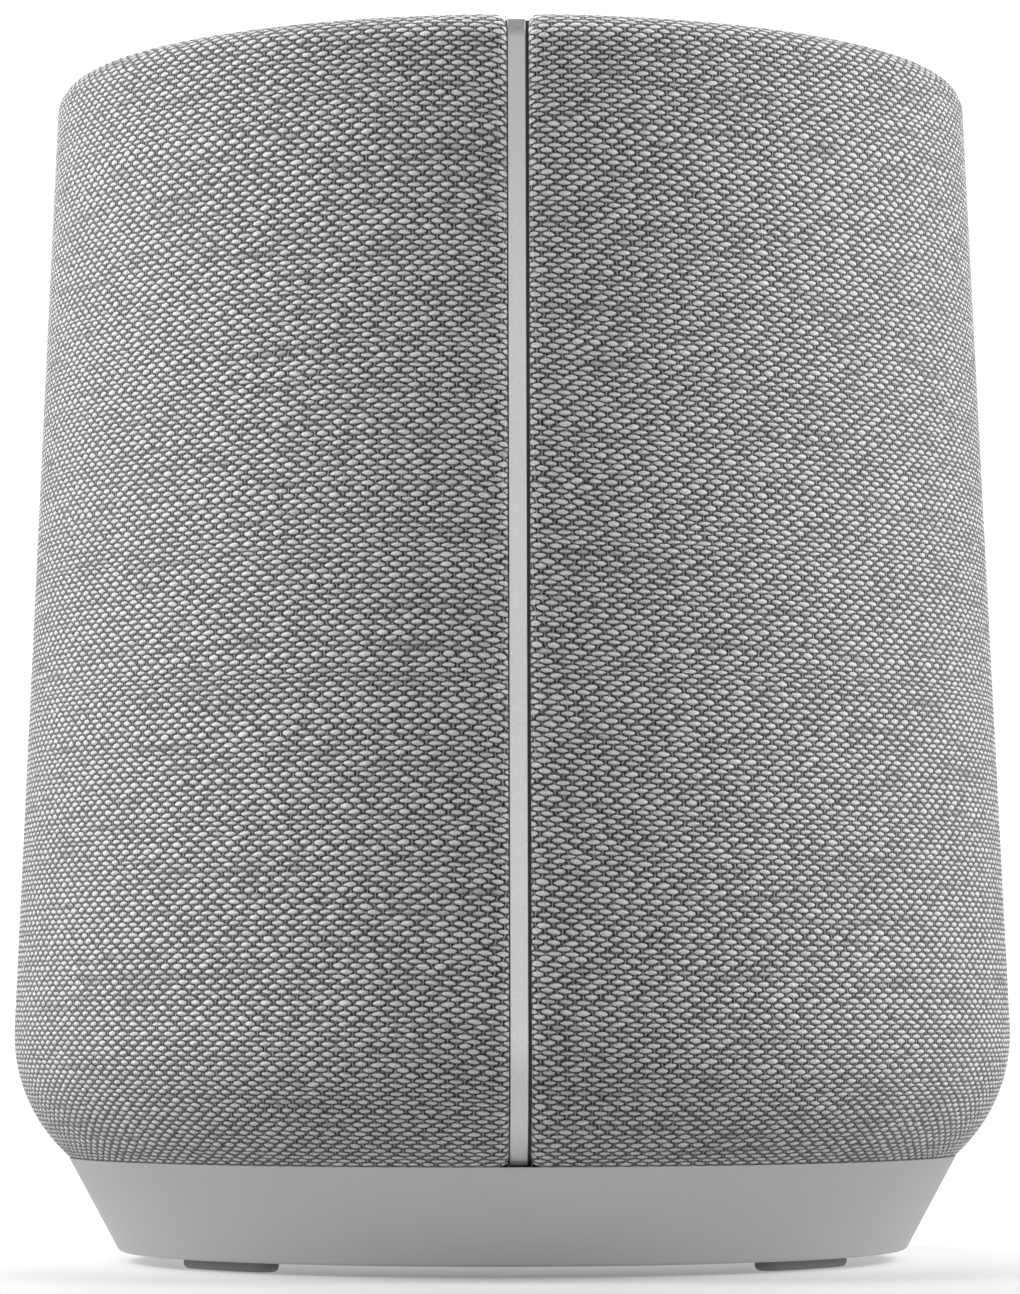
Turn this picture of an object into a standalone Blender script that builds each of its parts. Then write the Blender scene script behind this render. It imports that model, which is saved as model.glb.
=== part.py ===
"""Round smart speaker: fabric sleeve on a rigid shell, painted base, keys on top, drivers inside.

World axes: +Z up from the feet, the seam trim strip faces -Y, the cord leaves at +Y.
Helper lengths are in millimetres and are turned into metres by MM.
"""
import math

import bmesh
import bpy

MM = 0.001

# ---- segment counts -------------------------------------------------------------------------
SEG_SKIN = 60          # fabric sleeve and base skirt
SEG_RING = 36          # large rings and discs behind the skin
SEG_DRIVER = 28        # woofer and passive radiator
SEG_SMALL = 16         # keys, tweeters, screws
SMOOTH_DEG = 35.0

# ---- outer form -----------------------------------------------------------------------------
GAP = 0.3              # standing gap between neighbouring pieces
FOOT_HEIGHT = 1.7      # base bottom above the floor
BASE_TOP_Z = 17.2
BASE_BOTTOM_R = 65.1
BASE_TOP_R = 73.5
BASE_EDGE_R = 1.1      # rounding of the base's lower edge
BASE_WALL = 2.4

HEM_Z = BASE_TOP_Z + GAP
BELLY_Z = 37.5         # height of the widest point
BELLY_R = 82.5
BELLY_ARC = 27.0       # radius of the curve under the widest point
TAPER = math.radians(2.45)
TOP_Z = 194.9
RIM_ARC = 4.4
FABRIC_T = 1.2
TUCK_R = 69.4          # inner face of the fabric where it tucks down inside the rim
TUCK_Z = 188.0
SLOT_W = 3.5           # slot between the fabric's two edges
STRIP_W = 2.8
STRIP_SINK = 0.4       # trim strip's face below the fabric surface

SHELL_DEPTH = 1.6      # rigid shell's outer face below the fabric surface
SHELL_T = 1.6
HEM_RING_TOP_Z = 21.5
RIM_RING_Z = 186.0     # lower edge of the ring that holds the tucked fabric
WINDOW_COLUMNS = 42    # upright strips of the open shell; every third one is a rib
WINDOW_LEVELS = (21.9, 25.0, 29.0, 33.0, 37.0, 41.0, 84.0, 88.0, 131.0, 135.0, 180.0, 185.7)
OPEN_ROWS = (1, 2, 3, 5, 7, 9)
QUARTER_AZ_DEG = (45.0, 135.0, 225.0, 315.0)

# ---- base -----------------------------------------------------------------------------------
COVER_R = 63.2
COVER_T = 2.3
COVER_TOP_Z = FOOT_HEIGHT + COVER_T
FOOT_R = 58.5          # centre line of the foot pads
FOOT_W = 5.0
FOOT_SPAN_DEG = 22.0
FOOT_AZ_DEG = (51.6, 128.4, -128.4, -51.6)    # measured from the cord side
FOOT_SINK = 1.2
WELL_HALF_W = 10.5     # cord well under the base
WELL_Y0 = 34.0
WELL_Y1 = 60.4
WELL_TOP_Z = 14.5
WELL_WALL = 1.6
CORD_NOTCH_W = 5.4
CORD_NOTCH_TOP_Z = 5.4
INLET_Z = 9.4
INLET_Y0 = 19.0        # back of the mains inlet's body
INLET_HALF_W = 9.4
INLET_HALF_H = 5.0
NOSE_HALF_W = 7.3      # front of the inlet, seen through the well's wall
NOSE_HALF_H = 3.9
SOCKET_HALF_LEN = 3.2
SOCKET_R = 3.4
SOCKET_Y0 = 23.0
PIN_X = 3.3
PIN_R = 1.1
PIN_TIP_Y = 32.0
RESET_X = -30.0
RESET_Y = 30.0
RESET_R = 2.6
SCREW_R = 48.0         # bottom cover screws
SCREW_AZ_DEG = (-90.0, 0.0, 180.0)
SCREW_HEAD_R = 2.9
SCREW_HEAD_T = 0.8
SCREW_SHANK_R = 1.5
SCREW_TIP_Z = 13.0
POWER_BOARD_Z = 6.0
PCB_T = 1.6            # power board and main board
POWER_PARTS_H = 9.0    # transformer and capacitor standing on the power board

# ---- chassis and enclosure ------------------------------------------------------------------
CHASSIS_R = 70.2
CHASSIS_T = 3.0
ENCL_R = 69.0
ENCL_WALL = 3.0
ENCL_BOTTOM_Z = 36.0
ENCL_TOP_Z = 132.0
LID_Z = 132.3
LID_TOP_Z = 137.0
LEG_R = 4.0
LEG_RING_R = 60.0
CABLE_R = 67.0         # where the internal cable passes the chassis plate
CABLE_AZ = 20.0
CABLE_SIDE_R = 71.8    # its run up beside the enclosure
CABLE_END_Z = 148.7
CABLE_RADIUS = 1.3
CABLE_HOLE_R = 3.4
RADIATOR_HOLE_R = 43.0
RADIATOR_R_IN = 41.5
RADIATOR_R_OUT = 53.0
RADIATOR_Z = 33.2
DIAPHRAGM_R = 34.7
DIAPHRAGM_T = 1.8
WEIGHT_R = 14.0
WEIGHT_TOP_Z = 41.5

# ---- woofer ---------------------------------------------------------------------------------
FLANGE_R = 56.0
WOOFER_HOLE_R = 48.0
FORMER_R = 13.5
FORMER_T = 0.6
CONE_NECK_R = 13.8
CONE_EDGE_R = 39.8
CONE_NECK_Z = 117.0
CONE_EDGE_Z = 136.6
CONE_T = 1.2
CAP_R = 17.0           # dust cap
CAP_T = 0.6
CAP_RISE = 5.0
SURROUND_T = 0.7
MAGNET_R = 34.0
MAGNET_Z0 = 84.3
MAGNET_Z1 = 98.3
PLATE_R = 31.0
PLATE_Z0 = 98.6
PLATE_Z1 = 103.0
POLE_R = 12.3
YOKE_Z0 = 79.6
YOKE_Z1 = 84.0
COIL_Z0 = 96.0
SPIDER_R_IN = 13.9
SPIDER_R_OUT = 30.8
SPIDER_Z = 108.0
SPIDER_WAVES = 6

# ---- upper module ---------------------------------------------------------------------------
REFLECTOR_Z = 148.6
REFLECTOR_R = 62.5
PILLAR_R = 2.8
PILLAR_RING_R = 59.3
HOUSING_Z0 = 151.3
HOUSING_Z1 = 178.0
HOUSING_R = 66.0
HOUSING_WALL = 2.6
TWEETER_Z = 163.5
TWEETER_HOLE_R = 11.4
DOME_R = 8.2
DOME_RISE = 2.6
MAIN_BOARD_Z = 165.0
SINK_HALF_X = 14.0
SINK_HALF_Y = 16.0
SINK_TOP_Z = 175.0
FIN_PITCH = 5.4
FIN_T = 1.0
CARRIER_Z0 = 178.3
CARRIER_TOP_Z = 187.0
CARRIER_R = 68.8
STAND_RING_R = 48.0
STAND_R = 2.6
BOARD_Z = 184.5
BOARD_T = 1.5
CONTROL_BOARD_R = 57.0
LIGHT_BOARD_R = (60.0, 62.4, 65.0, 66.3)      # bare edge, emitters, bare edge
LIGHT_BOARD_Z = (186.6, 187.8, 189.0)         # underside, face, emitters' top
LIGHT_CELLS = 36
LIGHT_RING_R = 66.6
LIGHT_RING_Z = 190.2
BEZEL_R_IN = 66.9
BEZEL_R_OUT = 69.1
BEZEL_Z0 = 187.3
BEZEL_Z1 = 193.8
PANEL_TOP_Z = 193.2
PANEL_T = 2.2
PANEL_R = 63.0
KEY_R = 8.5
KEY_RING_R = 36.0
KEY_PROUD = 0.5
KEY_FLANGE_T = 0.9
KEY_FLANGE_W = 1.2
KEY_STEM_R = 3.0
DOME_MAT_T = 0.7
DOME_MAT_HALF_W = 7.0
DOME_TOP_Z = 188.7
MIC_HOLE_R = 1.0
MIC_RING_R = 54.0
MIC_AZ_DEG = (45.0, 225.0)
MIC_T = 1.2

KEYS = (("volume_up", 0.0), ("play_pause", 90.0), ("volume_down", 180.0), ("mic_mute", 270.0))


# ---- helpers --------------------------------------------------------------------------------
def clear_scene():
    for obj in list(bpy.data.objects):
        bpy.data.objects.remove(obj, do_unlink=True)


def material(name, rgb, rough, metal=0.0):
    mat = bpy.data.materials.new(name)
    mat.use_nodes = True
    shader = mat.node_tree.nodes["Principled BSDF"]
    shader.inputs["Base Color"].default_value = (*rgb, 1.0)
    shader.inputs["Roughness"].default_value = rough
    shader.inputs["Metallic"].default_value = metal
    mat.diffuse_color = (*rgb, 1.0)
    return mat


def add_object(name, bm, mat):
    mesh = bpy.data.meshes.new(name)
    bm.to_mesh(mesh)
    bm.free()
    mesh.materials.append(mat)
    obj = bpy.data.objects.new(name, mesh)
    bpy.context.scene.collection.objects.link(obj)
    return obj


def settle(obj, mat):
    """Turn the modified shape into plain mesh, smooth its round faces and keep its corners sharp."""
    bpy.context.view_layer.update()
    graph = bpy.context.evaluated_depsgraph_get()
    mesh = bpy.data.meshes.new_from_object(obj.evaluated_get(graph))
    old = obj.data
    obj.modifiers.clear()
    obj.data = mesh
    bpy.data.meshes.remove(old)
    mesh.name = obj.name
    mesh.materials.clear()
    mesh.materials.append(mat)
    mesh.shade_smooth()
    mesh.set_sharp_from_angle(angle=math.radians(SMOOTH_DEG))
    return obj


def signed_area(points):
    total = 0.0
    for (r0, z0), (r1, z1) in zip(points, points[1:] + points[:1]):
        total += r0 * z1 - r1 * z0
    return total / 2.0


def revolve(name, profile, segments, mat, closed=True):
    """Turn an (r, z) profile about Z. Its outer side is made to run from top to bottom."""
    points = list(profile)
    if signed_area(points) > 0.0:
        points.reverse()
    bm = bmesh.new()
    verts = [bm.verts.new((r * MM, 0.0, z * MM)) for r, z in points]
    for a, b in zip(verts, verts[1:]):
        bm.edges.new((a, b))
    if closed:
        bm.edges.new((verts[-1], verts[0]))
    obj = add_object(name, bm, mat)
    screw = obj.modifiers.new("Turn", "SCREW")
    screw.axis = "Z"
    screw.angle = math.tau
    screw.screw_offset = 0.0
    screw.steps = segments
    screw.render_steps = segments
    screw.use_merge_vertices = True
    screw.merge_threshold = 0.00001
    return settle(obj, mat)


def disc(name, radius, z0, z1, segments, mat):
    return revolve(name, [(0.0, z1), (radius, z1), (radius, z0), (0.0, z0)], segments, mat, closed=False)


def ring(name, r_in, r_out, z0, z1, segments, mat):
    return revolve(name, [(r_in, z1), (r_out, z1), (r_out, z0), (r_in, z0)], segments, mat)


def extrude(name, outline, z0, z1, mat):
    """Raise a closed XY outline from z0 to z1."""
    bm = bmesh.new()
    low = [bm.verts.new((x * MM, y * MM, z0 * MM)) for x, y in outline]
    face = bm.faces.new(low)
    grown = bmesh.ops.extrude_face_region(bm, geom=[face])
    raised = [v for v in grown["geom"] if isinstance(v, bmesh.types.BMVert)]
    bmesh.ops.translate(bm, vec=(0.0, 0.0, (z1 - z0) * MM), verts=raised)
    bmesh.ops.recalc_face_normals(bm, faces=bm.faces)
    return settle(add_object(name, bm, mat), mat)


def box(name, low, high, mat, bevel=0.0):
    bm = bmesh.new()
    bmesh.ops.create_cube(bm, size=1.0)
    size = [(h - l) * MM for l, h in zip(low, high)]
    mid = [(h + l) * MM / 2.0 for l, h in zip(low, high)]
    for vert in bm.verts:
        vert.co = [m + c * s for m, c, s in zip(mid, vert.co, size)]
    obj = add_object(name, bm, mat)
    if bevel > 0.0:
        mod = obj.modifiers.new("Edges", "BEVEL")
        mod.width = bevel * MM
        mod.segments = 1
        mod.limit_method = "ANGLE"
    return settle(obj, mat)


def shift(obj, offset):
    for vert in obj.data.vertices:
        vert.co = [c + o * MM for c, o in zip(vert.co, offset)]
    return obj


def combine(obj, others, operation, mat):
    """Cut the other solids from this one, or join them to it; they are used up."""
    for other in others:
        other.hide_render = True
        other.display_type = "WIRE"
        mod = obj.modifiers.new("Shape", "BOOLEAN")
        mod.operation = operation
        mod.solver = "EXACT"
        mod.object = other
    settle(obj, mat)
    for other in others:
        bpy.data.objects.remove(other, do_unlink=True)
    return obj


def cut(obj, others, mat):
    return combine(obj, others, "DIFFERENCE", mat)


def join(obj, others, mat):
    return combine(obj, others, "UNION", mat)


def polar(radius, azimuth_deg):
    angle = math.radians(azimuth_deg)
    return radius * math.cos(angle), radius * math.sin(angle)


def post(name, radius, x, y, z0, z1, mat, segments=SEG_SMALL):
    return shift(disc(name, radius, z0, z1, segments, mat), (x, y, 0.0))


def arc(cx, cz, radius, start, end, steps):
    return [
        (
            cx + radius * math.cos(start + (end - start) * i / steps),
            cz + radius * math.sin(start + (end - start) * i / steps),
        )
        for i in range(steps + 1)
    ]


def arch(r0, z0, r1, z1, rise, steps):
    """Half-roll between two radii, rising above (or, if negative, below) the line between them."""
    return [
        (
            r0 + (r1 - r0) * i / steps,
            z0 + (z1 - z0) * i / steps + rise * math.sin(math.pi * i / steps),
        )
        for i in range(steps + 1)
    ]


BELLY_C = BELLY_R - BELLY_ARC
TAPER_R0 = BELLY_C + BELLY_ARC * math.cos(TAPER)
TAPER_Z0 = BELLY_Z + BELLY_ARC * math.sin(TAPER)
RIM_CZ = TOP_Z - RIM_ARC
RIM_CR = TAPER_R0 - (RIM_CZ - TAPER_Z0) * math.tan(TAPER) - RIM_ARC / math.cos(TAPER)


def skin(depth, z_low, low_steps=4, rim_steps=4):
    """Outer form from the crown of the rim down to z_low, at a depth below the fabric surface."""
    rim = arc(RIM_CR, RIM_CZ, RIM_ARC - depth, math.pi / 2.0, TAPER, rim_steps)
    radius = BELLY_ARC - depth
    foot = math.asin((z_low - BELLY_Z) / radius)
    return rim + arc(BELLY_C, BELLY_Z, radius, TAPER, foot, low_steps)


def skin_radius(depth, z):
    """Radius of the outer form at a height, at a depth below the fabric surface."""
    if z < BELLY_Z + (BELLY_ARC - depth) * math.sin(TAPER):
        return BELLY_C + math.sqrt((BELLY_ARC - depth) ** 2 - (z - BELLY_Z) ** 2)
    return TAPER_R0 - (z - TAPER_Z0) * math.tan(TAPER) - depth / math.cos(TAPER)


def pad_outline(radius, width, centre_deg, span_deg, steps=6, end_steps=4):
    """Bent pad with round ends, lying along a circle about the Z axis."""
    half = math.radians(span_deg) / 2.0 - width / 2.0 / radius
    mid = math.radians(centre_deg)
    points = []
    for i in range(steps + 1):
        angle = mid - half + 2.0 * half * i / steps
        points.append(((radius + width / 2.0) * math.cos(angle), (radius + width / 2.0) * math.sin(angle)))
    for sign in (1.0, -1.0):
        end = mid + sign * half
        cx = radius * math.cos(end)
        cy = radius * math.sin(end)
        start = end if sign > 0.0 else end + math.pi
        for i in range(1, end_steps):
            turn = start + math.pi * i / end_steps
            points.append((cx + width / 2.0 * math.cos(turn), cy + width / 2.0 * math.sin(turn)))
        if sign > 0.0:
            for i in range(steps + 1):
                angle = mid + half - 2.0 * half * i / steps
                points.append(
                    ((radius - width / 2.0) * math.cos(angle), (radius - width / 2.0) * math.sin(angle))
                )
    return points


def stadium(half_len, radius, steps=8):
    points = []
    for sign in (1.0, -1.0):
        for i in range(steps + 1):
            angle = -math.pi / 2.0 + math.pi * i / steps
            points.append((sign * (half_len + radius * math.cos(angle)), sign * radius * math.sin(angle)))
    return points


# ---- materials ------------------------------------------------------------------------------
clear_scene()
FABRIC = material("fabric", (0.50, 0.48, 0.45), 0.95)
ALUMINIUM = material("trim_aluminium", (0.80, 0.79, 0.77), 0.30, 1.0)
PAINT = material("base_paint", (0.52, 0.52, 0.53), 0.35, 0.2)
RUBBER = material("foot_rubber", (0.22, 0.22, 0.225), 0.85)
BLACK = material("black_plastic", (0.03, 0.03, 0.03), 0.55)
SHELL = material("shell_plastic", (0.05, 0.05, 0.05), 0.60)
PANEL = material("panel_plastic", (0.30, 0.30, 0.31), 0.45)
KEYCAP = material("key_plastic", (0.36, 0.36, 0.37), 0.50)
DIFFUSER = material("diffuser_plastic", (0.85, 0.85, 0.83), 0.40)
SILICONE = material("silicone", (0.60, 0.60, 0.58), 0.80)
BOARD = material("circuit_board", (0.03, 0.16, 0.07), 0.50)
STEEL = material("steel", (0.45, 0.45, 0.46), 0.35, 1.0)
FERRITE = material("ferrite", (0.06, 0.06, 0.065), 0.60)
PAPER = material("cone_paper", (0.05, 0.05, 0.05), 0.90)
ROLL = material("surround_rubber", (0.03, 0.03, 0.03), 0.75)
COPPER = material("copper", (0.80, 0.42, 0.25), 0.35, 1.0)
CLOTH = material("spider_cloth", (0.55, 0.42, 0.18), 0.95)
BRASS = material("brass", (0.78, 0.60, 0.28), 0.30, 1.0)
SILK = material("dome_silk", (0.10, 0.10, 0.11), 0.70)
CORE = material("transformer_core", (0.55, 0.48, 0.12), 0.60)
CAN = material("capacitor_can", (0.05, 0.07, 0.20), 0.40)
JACKET = material("cable_jacket", (0.02, 0.02, 0.02), 0.60)


# ---- skin -----------------------------------------------------------------------------------
def build_skin():
    sleeve_profile = [
        (TUCK_R, TUCK_Z), (TUCK_R, TOP_Z - 0.8), (TUCK_R + 0.8, TOP_Z),
    ]
    sleeve_profile += skin(0.0, HEM_Z)
    sleeve_profile += reversed(skin(FABRIC_T, HEM_Z, rim_steps=3))
    sleeve_profile += [(TUCK_R + FABRIC_T, TOP_Z - FABRIC_T), (TUCK_R + FABRIC_T, TUCK_Z)]
    sleeve = revolve("fabric_sleeve", sleeve_profile, SEG_SKIN, FABRIC)
    slot = box("slot", (-SLOT_W / 2.0, -95.0, 0.0), (SLOT_W / 2.0, -60.0, 210.0), FABRIC)
    cut(sleeve, [slot], FABRIC)

    outline = skin(STRIP_SINK, HEM_Z) + list(reversed(skin(FABRIC_T, HEM_Z)))
    bm = bmesh.new()
    side = [bm.verts.new((-STRIP_W / 2.0 * MM, -r * MM, z * MM)) for r, z in outline]
    face = bm.faces.new(side)
    grown = bmesh.ops.extrude_face_region(bm, geom=[face])
    moved = [v for v in grown["geom"] if isinstance(v, bmesh.types.BMVert)]
    bmesh.ops.translate(bm, vec=(STRIP_W * MM, 0.0, 0.0), verts=moved)
    bmesh.ops.recalc_face_normals(bm, faces=bm.faces)
    settle(add_object("seam_trim_strip", bm, ALUMINIUM), ALUMINIUM)

    rim_profile = skin(SHELL_DEPTH, 30.0)[:5] + [
        (skin_radius(SHELL_DEPTH, RIM_RING_Z), RIM_RING_Z), (TUCK_R + FABRIC_T + GAP, RIM_RING_Z),
        (TUCK_R + FABRIC_T + GAP, TOP_Z - SHELL_DEPTH),
    ]
    revolve("rim_ring", rim_profile, SEG_RING, SHELL)
    hem_profile = [
        (skin_radius(SHELL_DEPTH, HEM_RING_TOP_Z), HEM_RING_TOP_Z),
        (skin_radius(SHELL_DEPTH, HEM_Z), HEM_Z), (CHASSIS_R + 0.4, HEM_Z),
        (CHASSIS_R + 0.4, HEM_RING_TOP_Z),
    ]
    revolve("hem_ring", hem_profile, SEG_RING, SHELL)


def build_grille():
    """Rigid open shell behind the fabric: rows of windows between ribs and hoops."""
    columns = WINDOW_COLUMNS
    start = -math.pi / 2.0 - math.pi / columns
    bm = bmesh.new()
    grid = []
    for z in WINDOW_LEVELS:
        radius = skin_radius(SHELL_DEPTH, z)
        loop = []
        for i in range(columns):
            angle = start + math.tau * i / columns
            loop.append(bm.verts.new((radius * math.cos(angle) * MM, radius * math.sin(angle) * MM, z * MM)))
        grid.append(loop)
    for row in range(len(WINDOW_LEVELS) - 1):
        for col in range(columns):
            if row in OPEN_ROWS and col % 3 != 0:
                continue
            nxt = (col + 1) % columns
            bm.faces.new((grid[row][col], grid[row][nxt], grid[row + 1][nxt], grid[row + 1][col]))
    obj = add_object("grille_shell", bm, SHELL)
    thick = obj.modifiers.new("Wall", "SOLIDIFY")
    thick.thickness = SHELL_T * MM
    thick.offset = -1.0
    thick.use_even_offset = True
    settle(obj, SHELL)


# ---- base -----------------------------------------------------------------------------------
def build_base():
    slope = (BASE_TOP_R - BASE_BOTTOM_R) / (BASE_TOP_Z - FOOT_HEIGHT)
    edge = BASE_EDGE_R
    skirt_profile = [
        (BASE_TOP_R, BASE_TOP_Z),
        (BASE_BOTTOM_R + slope * edge, FOOT_HEIGHT + edge),
        (BASE_BOTTOM_R + 0.1, FOOT_HEIGHT + edge * 0.35),
        (BASE_BOTTOM_R - edge * 0.6, FOOT_HEIGHT),
        (COVER_R + GAP, FOOT_HEIGHT), (COVER_R + GAP, COVER_TOP_Z),
        (BASE_BOTTOM_R + slope * (COVER_T + 1.0) - BASE_WALL + 0.6, COVER_TOP_Z + 0.6),
        (BASE_TOP_R - BASE_WALL, BASE_TOP_Z),
    ]
    skirt = revolve("base_skirt", skirt_profile, SEG_SKIN, PAINT)
    notch = box(
        "notch", (-CORD_NOTCH_W / 2.0, 55.0, -5.0), (CORD_NOTCH_W / 2.0, 80.0, CORD_NOTCH_TOP_Z), PAINT
    )
    cut(skirt, [notch], PAINT)

    cover = disc("bottom_cover", COVER_R, FOOT_HEIGHT, COVER_TOP_Z, SEG_RING, BLACK)
    wall = WELL_WALL
    well_shell = box(
        "well_shell", (-WELL_HALF_W - wall, WELL_Y0 - wall, COVER_TOP_Z - 1.0),
        (WELL_HALF_W + wall, WELL_Y1 + wall * 0.5, WELL_TOP_Z + wall), BLACK,
    )
    join(cover, [well_shell], BLACK)
    cutters = [
        box("well", (-WELL_HALF_W, WELL_Y0, -5.0), (WELL_HALF_W, WELL_Y1, WELL_TOP_Z), BLACK),
        box(
            "way_out", (-CORD_NOTCH_W / 2.0, WELL_Y1 - 1.0, -5.0),
            (CORD_NOTCH_W / 2.0, 80.0, CORD_NOTCH_TOP_Z), BLACK,
        ),
        box(
            "inlet_window", (-NOSE_HALF_W - GAP, WELL_Y0 - wall - 1.0, INLET_Z - NOSE_HALF_H - GAP),
            (NOSE_HALF_W + GAP, WELL_Y0 + 1.0, INLET_Z + NOSE_HALF_H + GAP), BLACK,
        ),
        post("reset_hole", RESET_R + GAP, RESET_X, RESET_Y, -5.0, 10.0, BLACK),
    ]
    for az in FOOT_AZ_DEG:
        outline = pad_outline(FOOT_R, FOOT_W + 2.0 * GAP, az - 90.0, FOOT_SPAN_DEG + 0.6)
        cutters.append(extrude("pad_seat", outline, -5.0, FOOT_HEIGHT + FOOT_SINK + GAP, BLACK))
    head_low = FOOT_HEIGHT + 0.2
    head_top = head_low + SCREW_HEAD_T
    for az in SCREW_AZ_DEG:
        x, y = polar(SCREW_R, az)
        hole_r = SCREW_SHANK_R + 0.4
        seat_r = SCREW_HEAD_R + GAP
        seat_z = head_top + GAP
        seat_profile = [
            (0.0, 10.0), (hole_r, 10.0), (hole_r, seat_z), (seat_r, seat_z), (seat_r, -5.0), (0.0, -5.0),
        ]
        seat = revolve("screw_seat", seat_profile, SEG_SMALL, BLACK, closed=False)
        cutters.append(shift(seat, (x, y, 0.0)))
    cut(cover, cutters, BLACK)

    for number, az in enumerate(FOOT_AZ_DEG, start=1):
        outline = pad_outline(FOOT_R, FOOT_W, az - 90.0, FOOT_SPAN_DEG)
        extrude(f"foot_{number}", outline, 0.0, FOOT_HEIGHT + FOOT_SINK, RUBBER)
    for number, az in enumerate(SCREW_AZ_DEG, start=1):
        x, y = polar(SCREW_R, az)
        profile = [
            (0.0, SCREW_TIP_Z), (SCREW_SHANK_R, SCREW_TIP_Z), (SCREW_SHANK_R, head_top),
            (SCREW_HEAD_R, head_top), (SCREW_HEAD_R, head_low), (1.3, head_low), (0.0, head_low + 0.5),
        ]
        shift(revolve(f"cover_screw_{number}", profile, SEG_SMALL, STEEL, closed=False), (x, y, 0.0))

    inlet = box(
        "mains_inlet", (-INLET_HALF_W, INLET_Y0, INLET_Z - INLET_HALF_H),
        (INLET_HALF_W, WELL_Y0 - wall - GAP, INLET_Z + INLET_HALF_H), BLACK,
    )
    nose = box(
        "nose", (-NOSE_HALF_W, 28.0, INLET_Z - NOSE_HALF_H),
        (NOSE_HALF_W, WELL_Y0 - 0.2, INLET_Z + NOSE_HALF_H), BLACK,
    )
    join(inlet, [nose], BLACK)
    socket = extrude("socket", stadium(SOCKET_HALF_LEN, SOCKET_R), SOCKET_Y0, WELL_Y0 + 2.0, BLACK)
    for vert in socket.data.vertices:
        x, y, z = vert.co
        vert.co = (x, z, INLET_Z * MM - y)
    cut(inlet, [socket], BLACK)
    for number, x in enumerate((-PIN_X, PIN_X), start=1):
        pin = disc(f"inlet_pin_{number}", PIN_R, SOCKET_Y0 + GAP, PIN_TIP_Y, 12, BRASS)
        for vert in pin.data.vertices:
            px, py, pz = vert.co
            vert.co = (px + x * MM, pz, INLET_Z * MM - py)
        pin.data.update()

    flange_z = COVER_TOP_Z + GAP
    flange_r = RESET_R + 1.0
    face_z = FOOT_HEIGHT + 0.4
    reset_profile = [
        (0.0, 9.0), (1.6, 9.0), (1.6, flange_z + 0.9), (flange_r, flange_z + 0.9),
        (flange_r, flange_z), (RESET_R, flange_z), (RESET_R, face_z), (0.0, face_z),
    ]
    reset = revolve("reset_button", reset_profile, SEG_SMALL, KEYCAP, closed=False)
    reset.location = (RESET_X * MM, RESET_Y * MM, 0.0)


def build_power():
    z1 = POWER_BOARD_Z + PCB_T
    box("power_board", (-36.0, -40.0, POWER_BOARD_Z), (36.0, 6.0, z1), BOARD)
    z0 = z1 + GAP
    box("transformer", (-22.0, -30.0, z0), (4.0, -10.0, z0 + POWER_PARTS_H), CORE, bevel=0.8)
    post("capacitor", 6.5, 22.0, -20.0, z0, z0 + POWER_PARTS_H, CAN)


def build_chassis():
    z0 = HEM_Z
    z1 = HEM_Z + CHASSIS_T
    chassis = disc("chassis_plate", CHASSIS_R, z0, z1, SEG_RING, SHELL)
    legs = []
    for az in QUARTER_AZ_DEG:
        x, y = polar(LEG_RING_R, az)
        legs.append(post("leg", LEG_R, x, y, z1 - 1.0, ENCL_BOTTOM_Z - GAP, SHELL))
    join(chassis, legs, SHELL)
    x, y = polar(CABLE_R, CABLE_AZ)
    cut(chassis, [post("cable_way", CABLE_HOLE_R, x, y, z0 - 2.0, z1 + 2.0, SHELL)], SHELL)


def build_cable():
    """Round cable from the power board up beside the enclosure to the main board."""
    path = [
        (38.5, 11.0), (62.0, 11.0), (CABLE_R, 15.0), (CABLE_R, 24.0), (CABLE_SIDE_R, 31.0),
        (CABLE_SIDE_R, CABLE_END_Z - 4.0), (68.0, CABLE_END_Z),
    ]
    sides = 8
    ux, uy = polar(1.0, CABLE_AZ)
    bm = bmesh.new()
    loops = []
    for i, (r, z) in enumerate(path):
        before = path[max(i - 1, 0)]
        after = path[min(i + 1, len(path) - 1)]
        dr = after[0] - before[0]
        dz = after[1] - before[1]
        length = math.hypot(dr, dz)
        loop = []
        for k in range(sides):
            turn = math.tau * k / sides
            along = CABLE_RADIUS * math.cos(turn)
            across = CABLE_RADIUS * math.sin(turn)
            pr = r - along * dz / length
            pz = z + along * dr / length
            loop.append(bm.verts.new(((pr * ux - across * uy) * MM, (pr * uy + across * ux) * MM, pz * MM)))
        loops.append(loop)
    for low, high in zip(loops, loops[1:]):
        for k in range(sides):
            nxt = (k + 1) % sides
            bm.faces.new((low[k], low[nxt], high[nxt], high[k]))
    bm.faces.new(loops[0])
    bm.faces.new(loops[-1])
    bmesh.ops.recalc_face_normals(bm, faces=bm.faces)
    settle(add_object("internal_cable", bm, JACKET), JACKET)


# ---- enclosure and drivers ------------------------------------------------------------------
def build_enclosure():
    inner = ENCL_R - ENCL_WALL
    floor_z = ENCL_BOTTOM_Z + ENCL_WALL
    body_profile = [
        (ENCL_R, ENCL_TOP_Z), (ENCL_R, ENCL_BOTTOM_Z + 2.0), (ENCL_R - 2.0, ENCL_BOTTOM_Z),
        (RADIATOR_HOLE_R, ENCL_BOTTOM_Z), (RADIATOR_HOLE_R, floor_z), (inner, floor_z),
        (inner, ENCL_TOP_Z - 4.0), (inner - 3.0, ENCL_TOP_Z),
    ]
    revolve("enclosure_body", body_profile, SEG_RING, BLACK)
    ring("enclosure_lid", WOOFER_HOLE_R, ENCL_R, LID_Z, LID_TOP_Z, SEG_RING, BLACK)


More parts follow.
